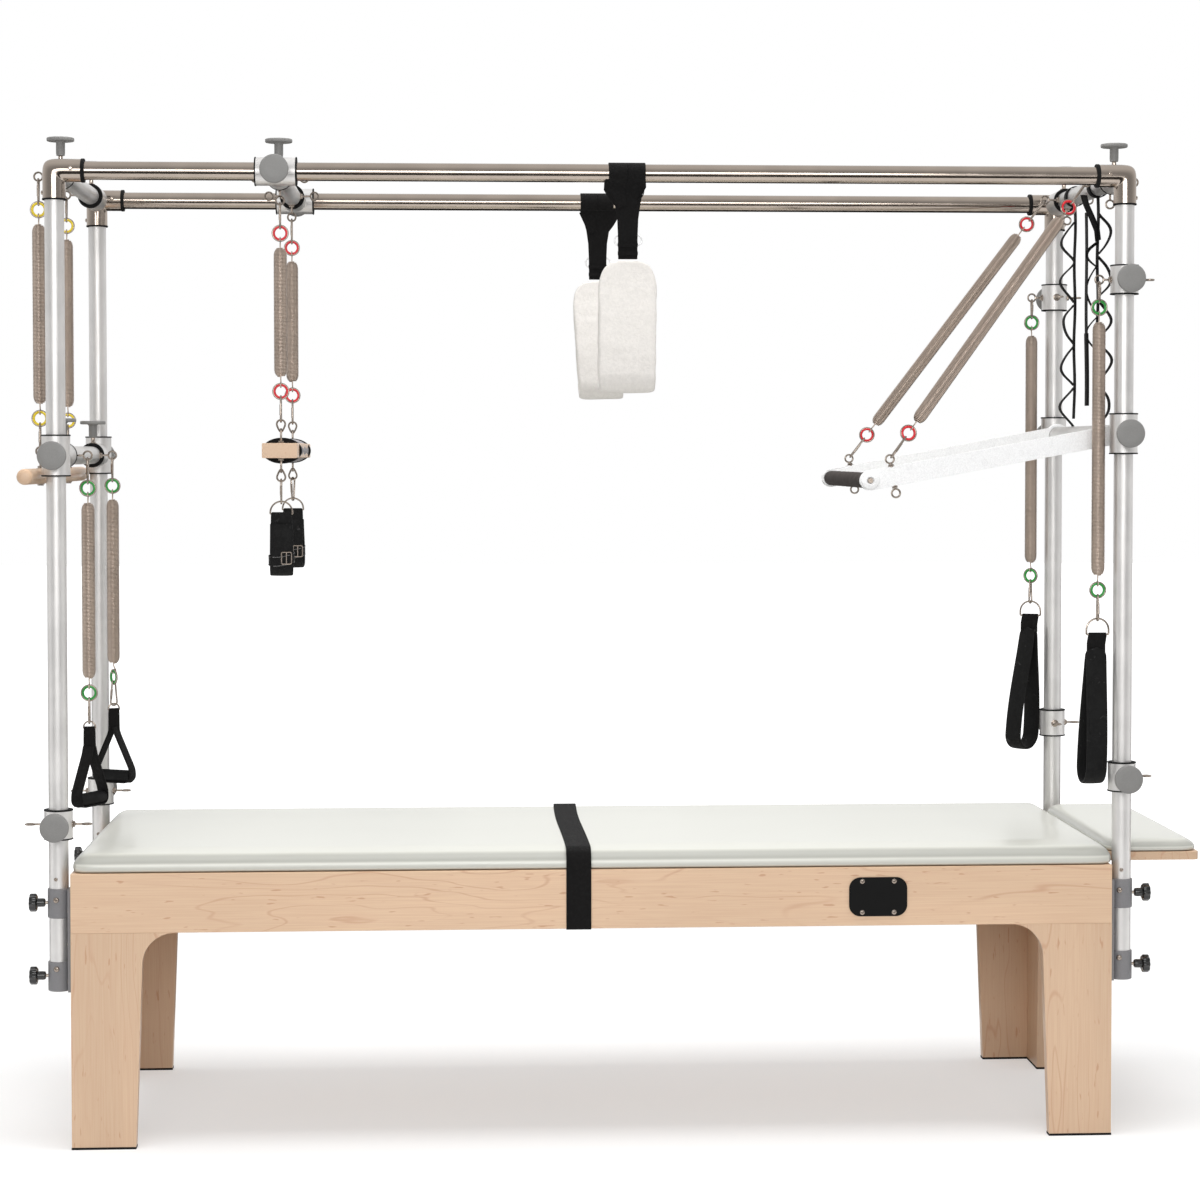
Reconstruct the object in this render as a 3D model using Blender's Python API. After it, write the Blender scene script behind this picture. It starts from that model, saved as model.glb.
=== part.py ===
"""Pilates trapeze table: a wooden table under a four-post frame, with its springs, bars and loops.

Metres, +Z up. X runs along the table, Y across it, and -Y is the front. The origin is on the
floor under the centre of the object's footprint. Shapes are written in the table's own frame,
whose X is zero at the middle of the table, and everything hangs on one empty that is moved by
TABLE_X.
"""

import math

import bmesh
import bpy
from mathutils import Matrix, Vector

X_AXIS = Vector((1, 0, 0))
Y_AXIS = Vector((0, 1, 0))
Z_AXIS = Vector((0, 0, 1))
FRONT = -1
REAR = 1
LEFT = -1
RIGHT = 1

# Gaps between neighbours
GAP = 0.0003
FIT = 0.0005
TURN_FIT = 0.00104
HOOK_PLAY = 0.0006
OVERLAP = 0.001

# Sides of a round bar, a knob, a screw or pin, and an eye that holds nothing
SIDES = 10
KNOB_SIDES = 8
PIN_SIDES = 6
SPARE_EYE_SIDES = 5

# Table
TABLE_LENGTH = 2.200
TABLE_WIDTH = 0.780
DECK_HEIGHT = 0.580
RAIL_HEIGHT = 0.125
BOARD = 0.026
LEG_WIDTH = 0.133
END_LEG_WIDTH = 0.140
LEG_TAPER = 0.015
ARCH_RADIUS = 0.068
ARCH_STEPS = 5
DECK_THICKNESS = 0.018
BEARER_WIDTH = 0.030
BEARER_HEIGHT = 0.040
SLAT_SPACING = 0.550
SLAT_WIDTH = 0.060

# Mat and the strap tied round it
MAT_THICKNESS = 0.040
MAT_CROWN = 0.004
MAT_SIDE_INSET = 0.0025
MAT_CORNER = 0.016
STRAP_OFFSET = 0.038
STRAP_WIDTH = 0.053
STRAP_THICKNESS = 0.002
STRAP_BEVEL = 0.4

# A pad's side: inset, and height as a share of the thickness. Its crown: inset as a share of its
# narrower half, and height as a share of the crown
PAD_SIDE = ((0.006, 0.0), (0.001, 0.15), (0.0, 0.45), (0.002, 0.75), (0.007, 0.93), (0.014, 1.0))
PAD_CROWN = ((0.30, 0.7), (0.60, 1.0))

# Front plate
PLATE_X = 0.5974
PLATE_DROP = 0.063
PLATE_LENGTH = 0.124
PLATE_HEIGHT = 0.083
PLATE_THICKNESS = 0.003
PLATE_CORNER = 0.024
PLATE_SCREW_INSET = 0.028
PLATE_SCREW_MARGIN = 0.0085
SCREW_HEAD_RADIUS = 0.0045
SCREW_HEAD_HEIGHT = 0.0015

# End leaf between the right posts
LEAF_OFFSET = 0.003
LEAF_LENGTH = 0.202
LEAF_WIDTH = 0.650
LEAF_BOARD = 0.018
LEAF_PAD = 0.026
LEAF_CROWN = 0.003
LEAF_CORNER = 0.030
BRACKET_WIDTH = 0.440
BRACKET_DROP = 0.080
BRACKET_REACH = 0.065
BRACKET_THICKNESS = 0.005

# Posts and top frame
POST_OD = 0.0406
POST_WALL = 0.002
POST_STANDOFF = 0.0082
POST_INSET = 0.040
POST_FOOT_RISE = 0.005
FRAME_RISE = 1.466
TOP_TUBE_OD = 0.0385
CROSS_OD = 0.040
CROSS_WALL = 0.002
ELBOW_OD = 0.048
ELBOW_LEG = 0.060
BEND_RADIUS = 0.030
BEND_STEPS = 2
SOCKET_DEPTH = 0.030
SLEEVE_OD = 0.054
SLEEVE_REACH = 0.120
SLEEVE_SOCKET = 0.085

# Base brackets
BRACKET_PLATE = 0.007
BRACKET_PLATE_WIDTH = 0.060
CLAMP_SLEEVE_OD = 0.047
CLAMP_SLEEVE_HEIGHT = 0.062
LOWER_SLEEVE_DROP = 0.219
UPPER_SLEEVE_DROP = 0.065
STAR_RADIUS = 0.019
STAR_VALLEY = 0.0155
STAR_LOBES = 5
STAR_THICKNESS = 0.016
STAR_REACH = 0.0615
STAR_NECK_RADIUS = 0.008

# Clamp collars and their knobs
COLLAR_OD = 0.059
COLLAR_HEIGHT = 0.062
MID_COLLAR_HEIGHT = 0.086
CARRIAGE_COLLAR_LENGTH = 0.087
DISC_RADIUS = 0.030
DISC_THICKNESS = 0.011
DISC_REACH = 0.070
TEE_DISC_RADIUS = 0.029
TEE_DISC_THICKNESS = 0.008
TEE_REACH = 0.079
TEE_SETBACK = 0.100
NECK_RADIUS = 0.0095

# Clamps: how far below the top frame's axis or above the deck they are
LEFT_MID_DROP = 0.5932
RIGHT_MID_DROP = 0.5475
UPPER_RIGHT_DROP = 0.220
LOWER_LEFT_RISE = {FRONT: 0.100, REAR: 0.086}
LOWER_RIGHT_RISE = {FRONT: 0.185, REAR: 0.2335}
CARRIAGE_OFFSET = 0.669

# Eye bolts, quick links and D-rings
WIRE_WIDTH = 0.004
WIRE_THICKNESS = 0.003
EYE_RADIUS = 0.009
EYE_SIDES = 8
STEM_RADIUS = 0.0021
STEM_SIDES = 4
EYE_SPACING = 0.430
CROSS_EYE_REACH = 0.052
LIFT_EYE_REACH = 0.048
DOWN_EYE_REACH = 0.048
LEFT_COLLAR_EYE_REACH = 0.0592
RIGHT_COLLAR_EYE_REACH = 0.054
LINK_WIRE = 0.004
D_STEPS = 5

# Springs. Each length is from hook to hook
ROLL_DOWN_SPRING = 0.566
TRAPEZE_SPRING = 0.460
HANDLE_SPRING = 0.5608
FOOT_SPRING = 0.7135
SPRING_OD = 0.029
SPRING_WIRE = 0.0034
SPRING_RING_OUTER = 0.0175
SPRING_RING_INNER = 0.011
SPRING_RING_THICKNESS = 0.005
SPRING_RING_SIDES = 8
HOOK_TO_RING = 0.061
UPPER_HOOK_TO_RING = 0.050
RING_TO_COIL = 0.032
POINTS_PER_CURL = 8
CURLS = {"roll_down": 3, "trapeze": 3, "handle": 3, "foot": 4, "push": 4}

# Roll-down bar
ROLL_DOWN_LENGTH = 0.890
ROLL_DOWN_OD = 0.033
ROLL_DOWN_END_ROUND = 0.006
ROLL_DOWN_EYE_RISE = 0.053
NUT_RADIUS = 0.008
NUT_HEIGHT = 0.006

# Trapeze bar and ankle cuffs
TRAPEZE_LENGTH = 0.540
TRAPEZE_BOARD_WIDTH = 0.072
TRAPEZE_BOARD_HEIGHT = 0.032
TRAPEZE_EYE_OFFSET = 0.057
TRAPEZE_PAD_LENGTH = 0.340
TRAPEZE_PAD_WIDTH = 0.078
TRAPEZE_PAD_HEIGHT = 0.052
TRAPEZE_BAND_LENGTH = 0.026
TRAPEZE_BAND_WIDTH = 0.086
TRAPEZE_BAND_HEIGHT = 0.056
CUFF_DROP = 0.043
CUFF_STRAP_DROP = 0.069
CUFF_LENGTH = 0.136
CUFF_WIDTH = 0.055
CUFF_DEPTH = 0.044
CUFF_THICKNESS = 0.005
CUFF_STEPS = 4

# Shares of a hanging loop: its shoulders' drop and half width, and half its pinch at the top
LOOP_SHOULDER_DROP = 0.35
LOOP_SHOULDER_WIDTH = 0.72
LOOP_PINCH = 0.4

# Hand loops on the left springs
HANDLE_HOOK_RISE = 0.167
HANDLE_D_RADIUS = 0.0125
HANDLE_NECK_WIDTH = 0.026
HANDLE_STRAP_THICKNESS = 0.004
HANDLE_STRAP_WIDTH = 0.028
HANDLE_HALF_WIDTH = 0.046
HANDLE_STRAP_TOP = 0.115
HANDLE_GRIP_RADIUS = 0.0145
HANDLE_PINCH = 0.12
HANDLE_TURN = {FRONT: math.radians(48), REAR: math.radians(-25)}

# Foot loops on the right springs
FOOT_LOOP_DROP = 0.0715
FOOT_LOOP_LENGTH = 0.280
FOOT_D_RADIUS = 0.0205
FOOT_D_STRAIGHT = 0.008
FOOT_NECK_WIDTH = 0.040
FOOT_NECK_THICKNESS = 0.006
FOOT_LOOP_WIDTH = 0.047
FOOT_LOOP_DEPTH = 0.076
FOOT_LOOP_THICKNESS = 0.006
FOOT_LOOP_SETBACK = 0.006

# Fleece loops on the top tubes
FLEECE_X = {FRONT: 0.068, REAR: 0.040}
FLEECE_DROP = 0.174
FLEECE_LENGTH = 0.288
FLEECE_WIDTH = 0.124
FLEECE_DEPTH = 0.084
FLEECE_THICKNESS = 0.021
FLEECE_STRAP_WIDTH = 0.040
FLEECE_WRAP_WIDTH = 0.075
WEBBING = 0.003

# Daisy-chain straps on the right top cross bar
DAISY_Y = {FRONT: -0.100, REAR: 0.130}
DAISY_SIDE = {FRONT: RIGHT, REAR: LEFT}
DAISY_LENGTH = 0.512
DAISY_WIDTH = 0.025
DAISY_THICKNESS = 0.0025
DAISY_PERIOD = 0.095
DAISY_LOOP_HEIGHT = 0.084
DAISY_BULGE = 0.030
DAISY_LOOPS = 5
DAISY_STEPS = 4
DAISY_FIRST_DROP = 0.040

# Push-through bar
ARM_LENGTH = 0.549
ARM_DROOP = math.radians(10.5)
ARM_HEIGHT = 0.042
ARM_THICKNESS = 0.016
ARM_CLEARANCE = 0.0015
ARM_END_STEPS = 6
HUB_OD = 0.054
PUSH_TUBE_OD = 0.025
GRIP_OD = 0.034
PUSH_CAP_RADIUS = 0.019
PUSH_CAP_THICKNESS = 0.008
PUSH_EYE_SETBACK = 0.051
PUSH_EYE_OFFSET = 0.037

# Places that follow from the sizes above
TOP_HEIGHT = DECK_HEIGHT + FRAME_RISE
LEFT_MID_HEIGHT = TOP_HEIGHT - LEFT_MID_DROP
RIGHT_MID_HEIGHT = TOP_HEIGHT - RIGHT_MID_DROP
UPPER_RIGHT_HEIGHT = TOP_HEIGHT - UPPER_RIGHT_DROP
CARRIAGE_X = LEFT * CARRIAGE_OFFSET
PLATE_Z = DECK_HEIGHT - PLATE_DROP
BRACKET_FOOT = DECK_HEIGHT - LOWER_SLEEVE_DROP - CLAMP_SLEEVE_HEIGHT / 2
BRACKET_TOP = DECK_HEIGHT - UPPER_SLEEVE_DROP + CLAMP_SLEEVE_HEIGHT / 2
POST_FOOT = BRACKET_FOOT + POST_FOOT_RISE
TRAPEZE_HOOK = TOP_HEIGHT - DOWN_EYE_REACH - EYE_RADIUS
TRAPEZE_HEIGHT = TRAPEZE_HOOK - TRAPEZE_SPRING - EYE_RADIUS - TRAPEZE_EYE_OFFSET
CUFF_HOOK = TRAPEZE_HEIGHT - TRAPEZE_EYE_OFFSET - EYE_RADIUS
ROLL_DOWN_HOOK = TOP_HEIGHT - EYE_RADIUS
ROLL_DOWN_HEIGHT = ROLL_DOWN_HOOK - ROLL_DOWN_SPRING - EYE_RADIUS - ROLL_DOWN_EYE_RISE
LIFT_HOOK = LEFT_MID_HEIGHT - EYE_RADIUS
HANDLE_HOOK = LIFT_HOOK - HANDLE_SPRING
HANDLE_HEIGHT = HANDLE_HOOK - HANDLE_HOOK_RISE
FOOT_TOP_HOOK = UPPER_RIGHT_HEIGHT - EYE_RADIUS
FOOT_HOOK = FOOT_TOP_HOOK - FOOT_SPRING
FOOT_LOOP_TOP = FOOT_HOOK - FOOT_LOOP_DROP
FLEECE_TOP = TOP_HEIGHT - FLEECE_DROP
DAISY_BOTTOM = TOP_HEIGHT - DAISY_LENGTH
HALF_LENGTH = TABLE_LENGTH / 2
HALF_WIDTH = TABLE_WIDTH / 2
POST_X = HALF_LENGTH + POST_STANDOFF + POST_OD / 2
POST_Y = HALF_WIDTH - POST_INSET
RAIL_BOTTOM = DECK_HEIGHT - RAIL_HEIGHT
MAT_TOP = DECK_HEIGHT + MAT_THICKNESS + MAT_CROWN
SLEEVE_INNER_Y = POST_Y - SLEEVE_REACH
TEE_Y = POST_Y - TEE_SETBACK
EYE_Y = EYE_SPACING / 2
EYE_OUTER = EYE_RADIUS + WIRE_WIDTH / 2
LEAF_INNER_X = HALF_LENGTH + LEAF_OFFSET
LEFT_EXTENT = POST_X + LEFT_COLLAR_EYE_REACH + EYE_OUTER
RIGHT_EXTENT = LEAF_INNER_X + LEAF_LENGTH
TABLE_X = (LEFT_EXTENT - RIGHT_EXTENT) / 2
ARM_Y = POST_Y - COLLAR_OD / 2 - ARM_CLEARANCE - ARM_THICKNESS / 2
ARM_AXIS = Vector((-math.cos(ARM_DROOP), 0, -math.sin(ARM_DROOP)))
ARM_UP = Vector((-math.sin(ARM_DROOP), 0, math.cos(ARM_DROOP)))
PIVOT = Vector((POST_X, 0, RIGHT_MID_HEIGHT))

FINISHES = {
    "maple": ((0.80, 0.60, 0.40), 0.45, 0.0),
    "vinyl": ((0.90, 0.92, 0.89), 0.40, 0.0),
    "black_webbing": ((0.02, 0.02, 0.02), 0.85, 0.0),
    "polished_steel": ((0.62, 0.56, 0.51), 0.18, 1.0),
    "satin_aluminium": ((0.62, 0.61, 0.61), 0.38, 1.0),
    "grey_paint": ((0.33, 0.33, 0.33), 0.50, 0.0),
    "spring_steel": ((0.42, 0.37, 0.32), 0.32, 1.0),
    "white_paint": ((0.85, 0.85, 0.86), 0.35, 0.0),
    "grey_foam": ((0.08, 0.08, 0.08), 0.90, 0.0),
    "fleece": ((0.88, 0.87, 0.84), 0.95, 0.0),
    "black_plate": ((0.015, 0.015, 0.016), 0.50, 0.0),
}


# Frames of reference

def axle(origin, direction, start):
    """Frame whose z runs along direction and whose x points to start."""
    z = Vector(direction).normalized()
    x = (Vector(start) - z * z.dot(Vector(start))).normalized()
    turn = Matrix((x, z.cross(x), z)).transposed()
    return Matrix.Translation(Vector(origin)) @ turn.to_4x4()


def plane(origin, right, up):
    """Frame whose x runs along right and whose y runs along up."""
    x = Vector(right).normalized()
    y = (Vector(up) - x * x.dot(Vector(up))).normalized()
    turn = Matrix((x, y, x.cross(y))).transposed()
    return Matrix.Translation(Vector(origin)) @ turn.to_4x4()


def upright(x, y, z=0.0):
    """Frame of a vertical bar, with its first corner towards +X."""
    return axle((x, y, z), Z_AXIS, X_AXIS)


def crosswise(x, z, y=0.0):
    """Frame of a bar along Y, with its first corner on top."""
    return axle((x, y, z), Y_AXIS, Z_AXIS)


def lengthwise(y, z, x=0.0):
    """Frame of a bar along X, with its first corner on top."""
    return axle((x, y, z), X_AXIS, Z_AXIS)


# Closed shells

def loft(shell, rings, closed=False):
    """Skins a list of point rings, which close on themselves or are capped at both ends."""
    rows = [[shell.verts.new(point) for point in ring] for ring in rings]
    pairs = list(zip(rows, rows[1:]))
    if closed:
        pairs.append((rows[-1], rows[0]))
    else:
        shell.faces.new(rows[0])
        shell.faces.new(rows[-1])
    for lower, upper in pairs:
        for index in range(len(lower)):
            after = (index + 1) % len(lower)
            shell.faces.new((lower[index], lower[after], upper[after], upper[index]))


def turned(shell, frame, profile, closed=False, sides=SIDES, squash=1.0):
    """Turns (radius, height) points about the frame's z. squash narrows the shape along its x."""
    rings = []
    for radius, height in profile:
        ring = []
        for step in range(sides):
            angle = math.tau * step / sides
            along_x = squash * radius * math.cos(angle)
            ring.append(frame @ Vector((along_x, radius * math.sin(angle), height)))
        rings.append(ring)
    loft(shell, rings, closed)


def rod(shell, frame, radius, low, high, sides=SIDES):
    """A round bar between two heights of its frame."""
    turned(shell, frame, [(radius, low), (radius, high)], sides=sides)


def tube(shell, frame, outer, inner, low, high):
    """A tube that is open at both ends."""
    turned(shell, frame, [(outer, low), (outer, high), (inner, high), (inner, low)], closed=True)


def prism(shell, frame, outline, low, high):
    """An outline in the frame's xy plane, extruded along its z."""
    loft(shell, [[frame @ Vector((*point, level)) for point in outline] for level in (low, high)])


def block(shell, low, high):
    """A box between two corners."""
    outline = [(low[0], low[1]), (high[0], low[1]), (high[0], high[1]), (low[0], high[1])]
    prism(shell, Matrix.Identity(4), outline, low[2], high[2])


def band(shell, frame, outer, inner, low, high):
    """A closed band between two outlines with as many points each."""
    section = ((outer, low), (outer, high), (inner, high), (inner, low))
    rings = [[frame @ Vector((*point, level)) for point in outline] for outline, level in section]
    loft(shell, rings, closed=True)


def strip(shell, frame, route, thickness, low, high):
    """An open flat strap along a route in the frame's xy plane."""
    rings = []
    for index, point in enumerate(route):
        before = Vector(route[max(index - 1, 0)])
        after = Vector(route[min(index + 1, len(route) - 1)])
        along = (after - before).normalized()
        side = Vector((-along.y, along.x)) * thickness / 2
        one = Vector(point) + side
        other = Vector(point) - side
        corners = ((one, low), (one, high), (other, high), (other, low))
        rings.append([frame @ Vector((*corner, level)) for corner, level in corners])
    loft(shell, rings)


def grown(outline, distance):
    """The outline moved outwards by distance, for an anticlockwise outline."""
    result = []
    for index, point in enumerate(outline):
        here = Vector(point)
        one = (here - Vector(outline[index - 1])).normalized()
        two = (Vector(outline[(index + 1) % len(outline)]) - here).normalized()
        normal_one = Vector((one.y, -one.x))
        normal_two = Vector((two.y, -two.x))
        middle = (normal_one + normal_two).normalized()
        result.append(tuple(here + middle * distance / middle.dot(normal_one)))
    return result


def arc(centre, radius, first, last, steps):
    """Points on an arc, by its angles in degrees."""
    points = []
    for step in range(steps + 1):
        angle = math.radians(first + (last - first) * step / steps)
        points.append((centre[0] + radius * math.cos(angle), centre[1] + radius * math.sin(angle)))
    return points


def polygon(radius, sides):
    """A regular outline with its first corner on the frame's x."""
    return arc((0, 0), radius, 0, 360 - 360 / sides, sides - 1)


def flat_sided(half_width, sides):
    """A regular outline with the middle of its first side on the frame's x."""
    half_step = 180 / sides
    radius = half_width / math.cos(math.radians(half_step))
    return arc((0, 0), radius, half_step, 360 - half_step, sides - 1)


def rounded_rectangle(half_x, half_y, radius, steps=2):
    """An anticlockwise rectangle with rounded corners."""
    outline = []
    for quarter, (x, y) in enumerate(((1, 1), (-1, 1), (-1, -1), (1, -1))):
        centre = (x * (half_x - radius), y * (half_y - radius))
        outline += arc(centre, radius, 90 * quarter, 90 * quarter + 90, steps)
    return outline


def cushion(shell, centre, half_x, half_y, thickness, crown, corner):
    """A pad with drawn-in lower edges, full sides and a crowned top."""
    rings = []
    for inset, share in PAD_SIDE:
        outline = rounded_rectangle(half_x - inset, half_y - inset, corner)
        height = centre[2] + share * thickness
        rings.append([Vector((centre[0] + x, centre[1] + y, height)) for x, y in outline])
    narrow = min(half_x, half_y)
    for inward, share in PAD_CROWN:
        inset = inward * narrow
        outline = rounded_rectangle(half_x - inset, half_y - inset, min(corner, narrow - inset))
        height = centre[2] + thickness + share * crown
        rings.append([Vector((centre[0] + x, centre[1] + y, height)) for x, y in outline])
    loft(shell, rings)


def elbow(shell, corner, outward, leg, bend, radius, steps):
    """A bent bar: up the post below the corner, then along the top tube, away from outward."""
    inward = -outward * X_AXIS
    centre = Vector(corner) + bend * inward - bend * Z_AXIS
    places = [(Vector(corner) - leg * Z_AXIS, Z_AXIS)]
    for step in range(steps + 1):
        angle = math.pi / 2 * step / steps
        spoke = -math.cos(angle) * inward + math.sin(angle) * Z_AXIS
        heading = math.sin(angle) * inward + math.cos(angle) * Z_AXIS
        places.append((centre + bend * spoke, heading))
    places.append((Vector(corner) + leg * inward, inward))
    rings = []
    for place, heading in places:
        frame = axle(place, heading, Y_AXIS)
        rings.append([frame @ Vector((*point, 0)) for point in polygon(radius, SIDES)])
    loft(shell, rings)


# Hardware shared by several sub-parts

def knob(shell, origin, direction, start, reach, radius, thickness):
    """A disc knob on its neck. The neck starts inside what it is screwed into."""
    inner = reach - thickness
    profile = [(NECK_RADIUS, start), (NECK_RADIUS, inner), (radius, inner), (radius, reach)]
    side = X_AXIS if abs(direction.x) < 0.5 else Z_AXIS
    turned(shell, axle(origin, direction, side), profile, sides=KNOB_SIDES)


def eye_bolt(stems, rings, root, direction, start, reach, normal, sides=EYE_SIDES):
    """An eye bolt on the axis of what carries it: its ring's centre lies at reach."""
    root = Vector(root)
    foot = axle(root, direction, normal)
    rod(stems, foot, STEM_RADIUS, start, reach - EYE_RADIUS, sides=STEM_SIDES)
    frame = plane(root + reach * Vector(direction), direction, Vector(normal).cross(direction))
    outer = flat_sided(EYE_RADIUS + WIRE_WIDTH / 2, sides)
    inner = flat_sided(EYE_RADIUS - WIRE_WIDTH / 2, sides)
    band(rings, frame, outer, inner, -WIRE_THICKNESS / 2, WIRE_THICKNESS / 2)


def quick_link(shell, one, other, one_tight=0.0, other_tight=0.0):
    """A flat link round the wires at two points. A tight end bites into the wire it holds."""
    along = (other - one).normalized()
    side = (Y_AXIS - along * along.dot(Y_AXIS)).normalized()
    frame = plane(one, side, along)
    length = (other - one).length
    half = WIRE_WIDTH / 2 + HOOK_PLAY
    low = one_tight - half
    high = length - other_tight + half
    inner = [(-half, low), (half, low), (half, high), (-half, high)]
    outer = grown(inner, LINK_WIRE)
    band(shell, frame, outer, inner, -LINK_WIRE / 2, LINK_WIRE / 2)


def d_ring(shell, hook, radius, straight=0.0):
    """A D-ring in the XZ plane, hung by the middle of its round side. Returns its flat side's z."""
    top = radius * math.cos(math.radians(90 / D_STEPS))
    centre = (0, -top)
    middle = arc(centre, radius, 0, 180, D_STEPS)
    if straight:
        middle = [(radius, -top - straight)] + middle + [(-radius, -top - straight)]
    outer = grown(middle, WIRE_WIDTH / 2)
    inner = grown(middle, -WIRE_WIDTH / 2)
    frame = plane(hook, X_AXIS, Z_AXIS)
    band(shell, frame, outer, inner, -WIRE_THICKNESS / 2, WIRE_THICKNESS / 2)
    return hook.z - top - straight


def hanging_loop(shell, x, y, top, length, width, depth, thickness, steps=5):
    """A hanging loop of padded band in the YZ plane: pinched at the top, round at the bottom."""
    radius = depth / 2 - thickness
    foot = top - length + thickness + radius
    shoulder_z = top - thickness - LOOP_SHOULDER_DROP * length
    shoulder = LOOP_SHOULDER_WIDTH * radius
    pinch = LOOP_PINCH * thickness
    inner = arc((0, foot), radius, 180, 360, steps)
    inner += [(shoulder, shoulder_z), (pinch, top - thickness)]
    inner += [(-pinch, top - thickness), (-shoulder, shoulder_z)]
    outer = grown(inner, thickness)
    frame = plane((x, y, 0), Y_AXIS, Z_AXIS)
    band(shell, frame, outer, inner, -width / 2, width / 2)


def tube_mesh(points, radius):
    """One unbroken round tube along the points, with closed ends."""
    curve = bpy.data.curves.new("tube", "CURVE")
    curve.dimensions = "3D"
    curve.bevel_depth = radius
    curve.bevel_resolution = 1
    curve.use_fill_caps = True
    spline = curve.splines.new("POLY")
    spline.points.add(len(points) - 1)
    for spot, point in zip(spline.points, points):
        spot.co = (*point, 1)
    carrier = bpy.data.objects.new("tube", curve)
    mesh = bpy.data.meshes.new_from_object(carrier)
    shell = bmesh.new()
    shell.from_mesh(mesh)
    bmesh.ops.remove_doubles(shell, verts=shell.verts, dist=0.00001)
    bpy.data.objects.remove(carrier)
    bpy.data.curves.remove(curve)
    bpy.data.meshes.remove(mesh)
    return shell


# Sub-parts as objects

GROUPS = {}


def group(name, place, parent=None):
    """An empty that carries the pieces which move together. Its place is on their joint's axis."""
    empty = bpy.data.objects.new(name, None)
    bpy.context.scene.collection.objects.link(empty)
    place = Vector(place)
    if parent is None:
        empty.location = (TABLE_X, 0, 0)
    else:
        empty.parent = GROUPS[parent][0]
        empty.location = place - GROUPS[parent][1]
    GROUPS[name] = (empty, place)


def as_object(name, shell, parent):
    """Makes the shell an object of its group, with its origin on the group's axis."""
    empty, place = GROUPS[parent]
    bmesh.ops.recalc_face_normals(shell, faces=shell.faces)
    bmesh.ops.translate(shell, verts=shell.verts, vec=-place)
    mesh = bpy.data.meshes.new(name)
    shell.to_mesh(mesh)
    shell.free()
    mesh.shade_smooth()
    mesh.set_sharp_from_angle(angle=math.radians(35))
    thing = bpy.data.objects.new(name, mesh)
    bpy.context.scene.collection.objects.link(thing)
    thing.parent = empty
    return thing


def finish_material(name, finish):
    """The sub-part's own material."""
    colour, roughness, metallic = FINISHES[finish]
    material = bpy.data.materials.new(name)
    material.use_nodes = True
    shader = material.node_tree.nodes["Principled BSDF"]
    shader.inputs["Base Color"].default_value = (*colour, 1)
    shader.inputs["Roughness"].default_value = roughness
    shader.inputs["Metallic"].default_value = metallic
    material.diffuse_color = (*colour, 1)
    return material


def sub_part(name, parent, finish, body, joined=(), cut=()):
    """Makes one sub-part from its body, the shapes joined to it and the shapes cut from it."""
    thing = as_object(name, body, parent)
    thing.data.materials.append(finish_material(name, finish))
    for operation, shapes in (("UNION", joined), ("DIFFERENCE", cut)):
        for number, shape in enumerate(shapes, 1):
            tool = as_object(f"{name}.{operation.lower()}_{number}", shape, parent)
            tool.hide_render = True
            tool.display_type = "WIRE"
            step = thing.modifiers.new(f"{operation.lower()} {number}", "BOOLEAN")
            step.operation = operation
            step.object = tool
    return thing


def shells(count):
    """Empty shells to fill."""
    return [bmesh.new() for _ in range(count)]


# Table

def panel_outline(half_length, leg_width):
    """Side view of a panel: two tapered legs under a rail, with round inner corners."""
    foot = half_length - leg_width
    knee = foot - LEG_TAPER
    centre_z = RAIL_BOTTOM - ARCH_RADIUS
    outline = [(foot, 0), (half_length, 0), (half_length, DECK_HEIGHT)]
    outline += [(-half_length, DECK_HEIGHT), (-half_length, 0), (-foot, 0)]
    outline += arc((ARCH_RADIUS - knee, centre_z), ARCH_RADIUS, 180, 90, ARCH_STEPS)
    outline += arc((knee - ARCH_RADIUS, centre_z), ARCH_RADIUS, 90, 0, ARCH_STEPS)
    return outline


def long_panel(name, side):
    """A front or rear panel along the table's whole length."""
    body, = shells(1)
    frame = plane((0, side * (HALF_WIDTH - BOARD / 2), 0), X_AXIS, Z_AXIS)
    prism(body, frame, panel_outline(HALF_LENGTH, LEG_WIDTH), -BOARD / 2, BOARD / 2)
    sub_part(name, "table", "maple", body)


def end_panel(name, side):
    """A panel between the long ones at one end."""
    body, = shells(1)
    frame = plane((side * (HALF_LENGTH - BOARD / 2), 0, 0), Y_AXIS, Z_AXIS)
    half_width = HALF_WIDTH - BOARD - GAP
    prism(body, frame, panel_outline(half_width, END_LEG_WIDTH - BOARD), -BOARD / 2, BOARD / 2)
    sub_part(name, "table", "maple", body)


def deck_board():
    """The board under the mat, with its bearers and slats glued below."""
    body, bearers, slats = shells(3)
    half_x = HALF_LENGTH - BOARD - GAP
    half_y = HALF_WIDTH - BOARD - GAP
    underside = DECK_HEIGHT - DECK_THICKNESS
    block(body, (-half_x, -half_y, underside), (half_x, half_y, DECK_HEIGHT))
    bearer_bottom = underside - BEARER_HEIGHT
    for side in (FRONT, REAR):
        edges = sorted((side * half_y, side * (half_y - BEARER_WIDTH)))
        block(bearers, (-half_x, edges[0], bearer_bottom), (half_x, edges[1], underside + OVERLAP))
    slat_half_y = half_y - BEARER_WIDTH + OVERLAP
    for place in (-SLAT_SPACING, 0, SLAT_SPACING):
        low = (place - SLAT_WIDTH / 2, -slat_half_y, bearer_bottom + OVERLAP)
        block(slats, low, (place + SLAT_WIDTH / 2, slat_half_y, underside + 2 * OVERLAP))
    sub_part("deck_board", "table", "maple", body, joined=[bearers, slats])


def mat():
    """The vinyl mat on the table."""
    body, = shells(1)
    place = (0, 0, DECK_HEIGHT + GAP)
    half_y = HALF_WIDTH - MAT_SIDE_INSET
    cushion(body, place, HALF_LENGTH, half_y, MAT_THICKNESS - GAP, MAT_CROWN, MAT_CORNER)
    sub_part("mat", "table", "vinyl", body)


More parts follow.
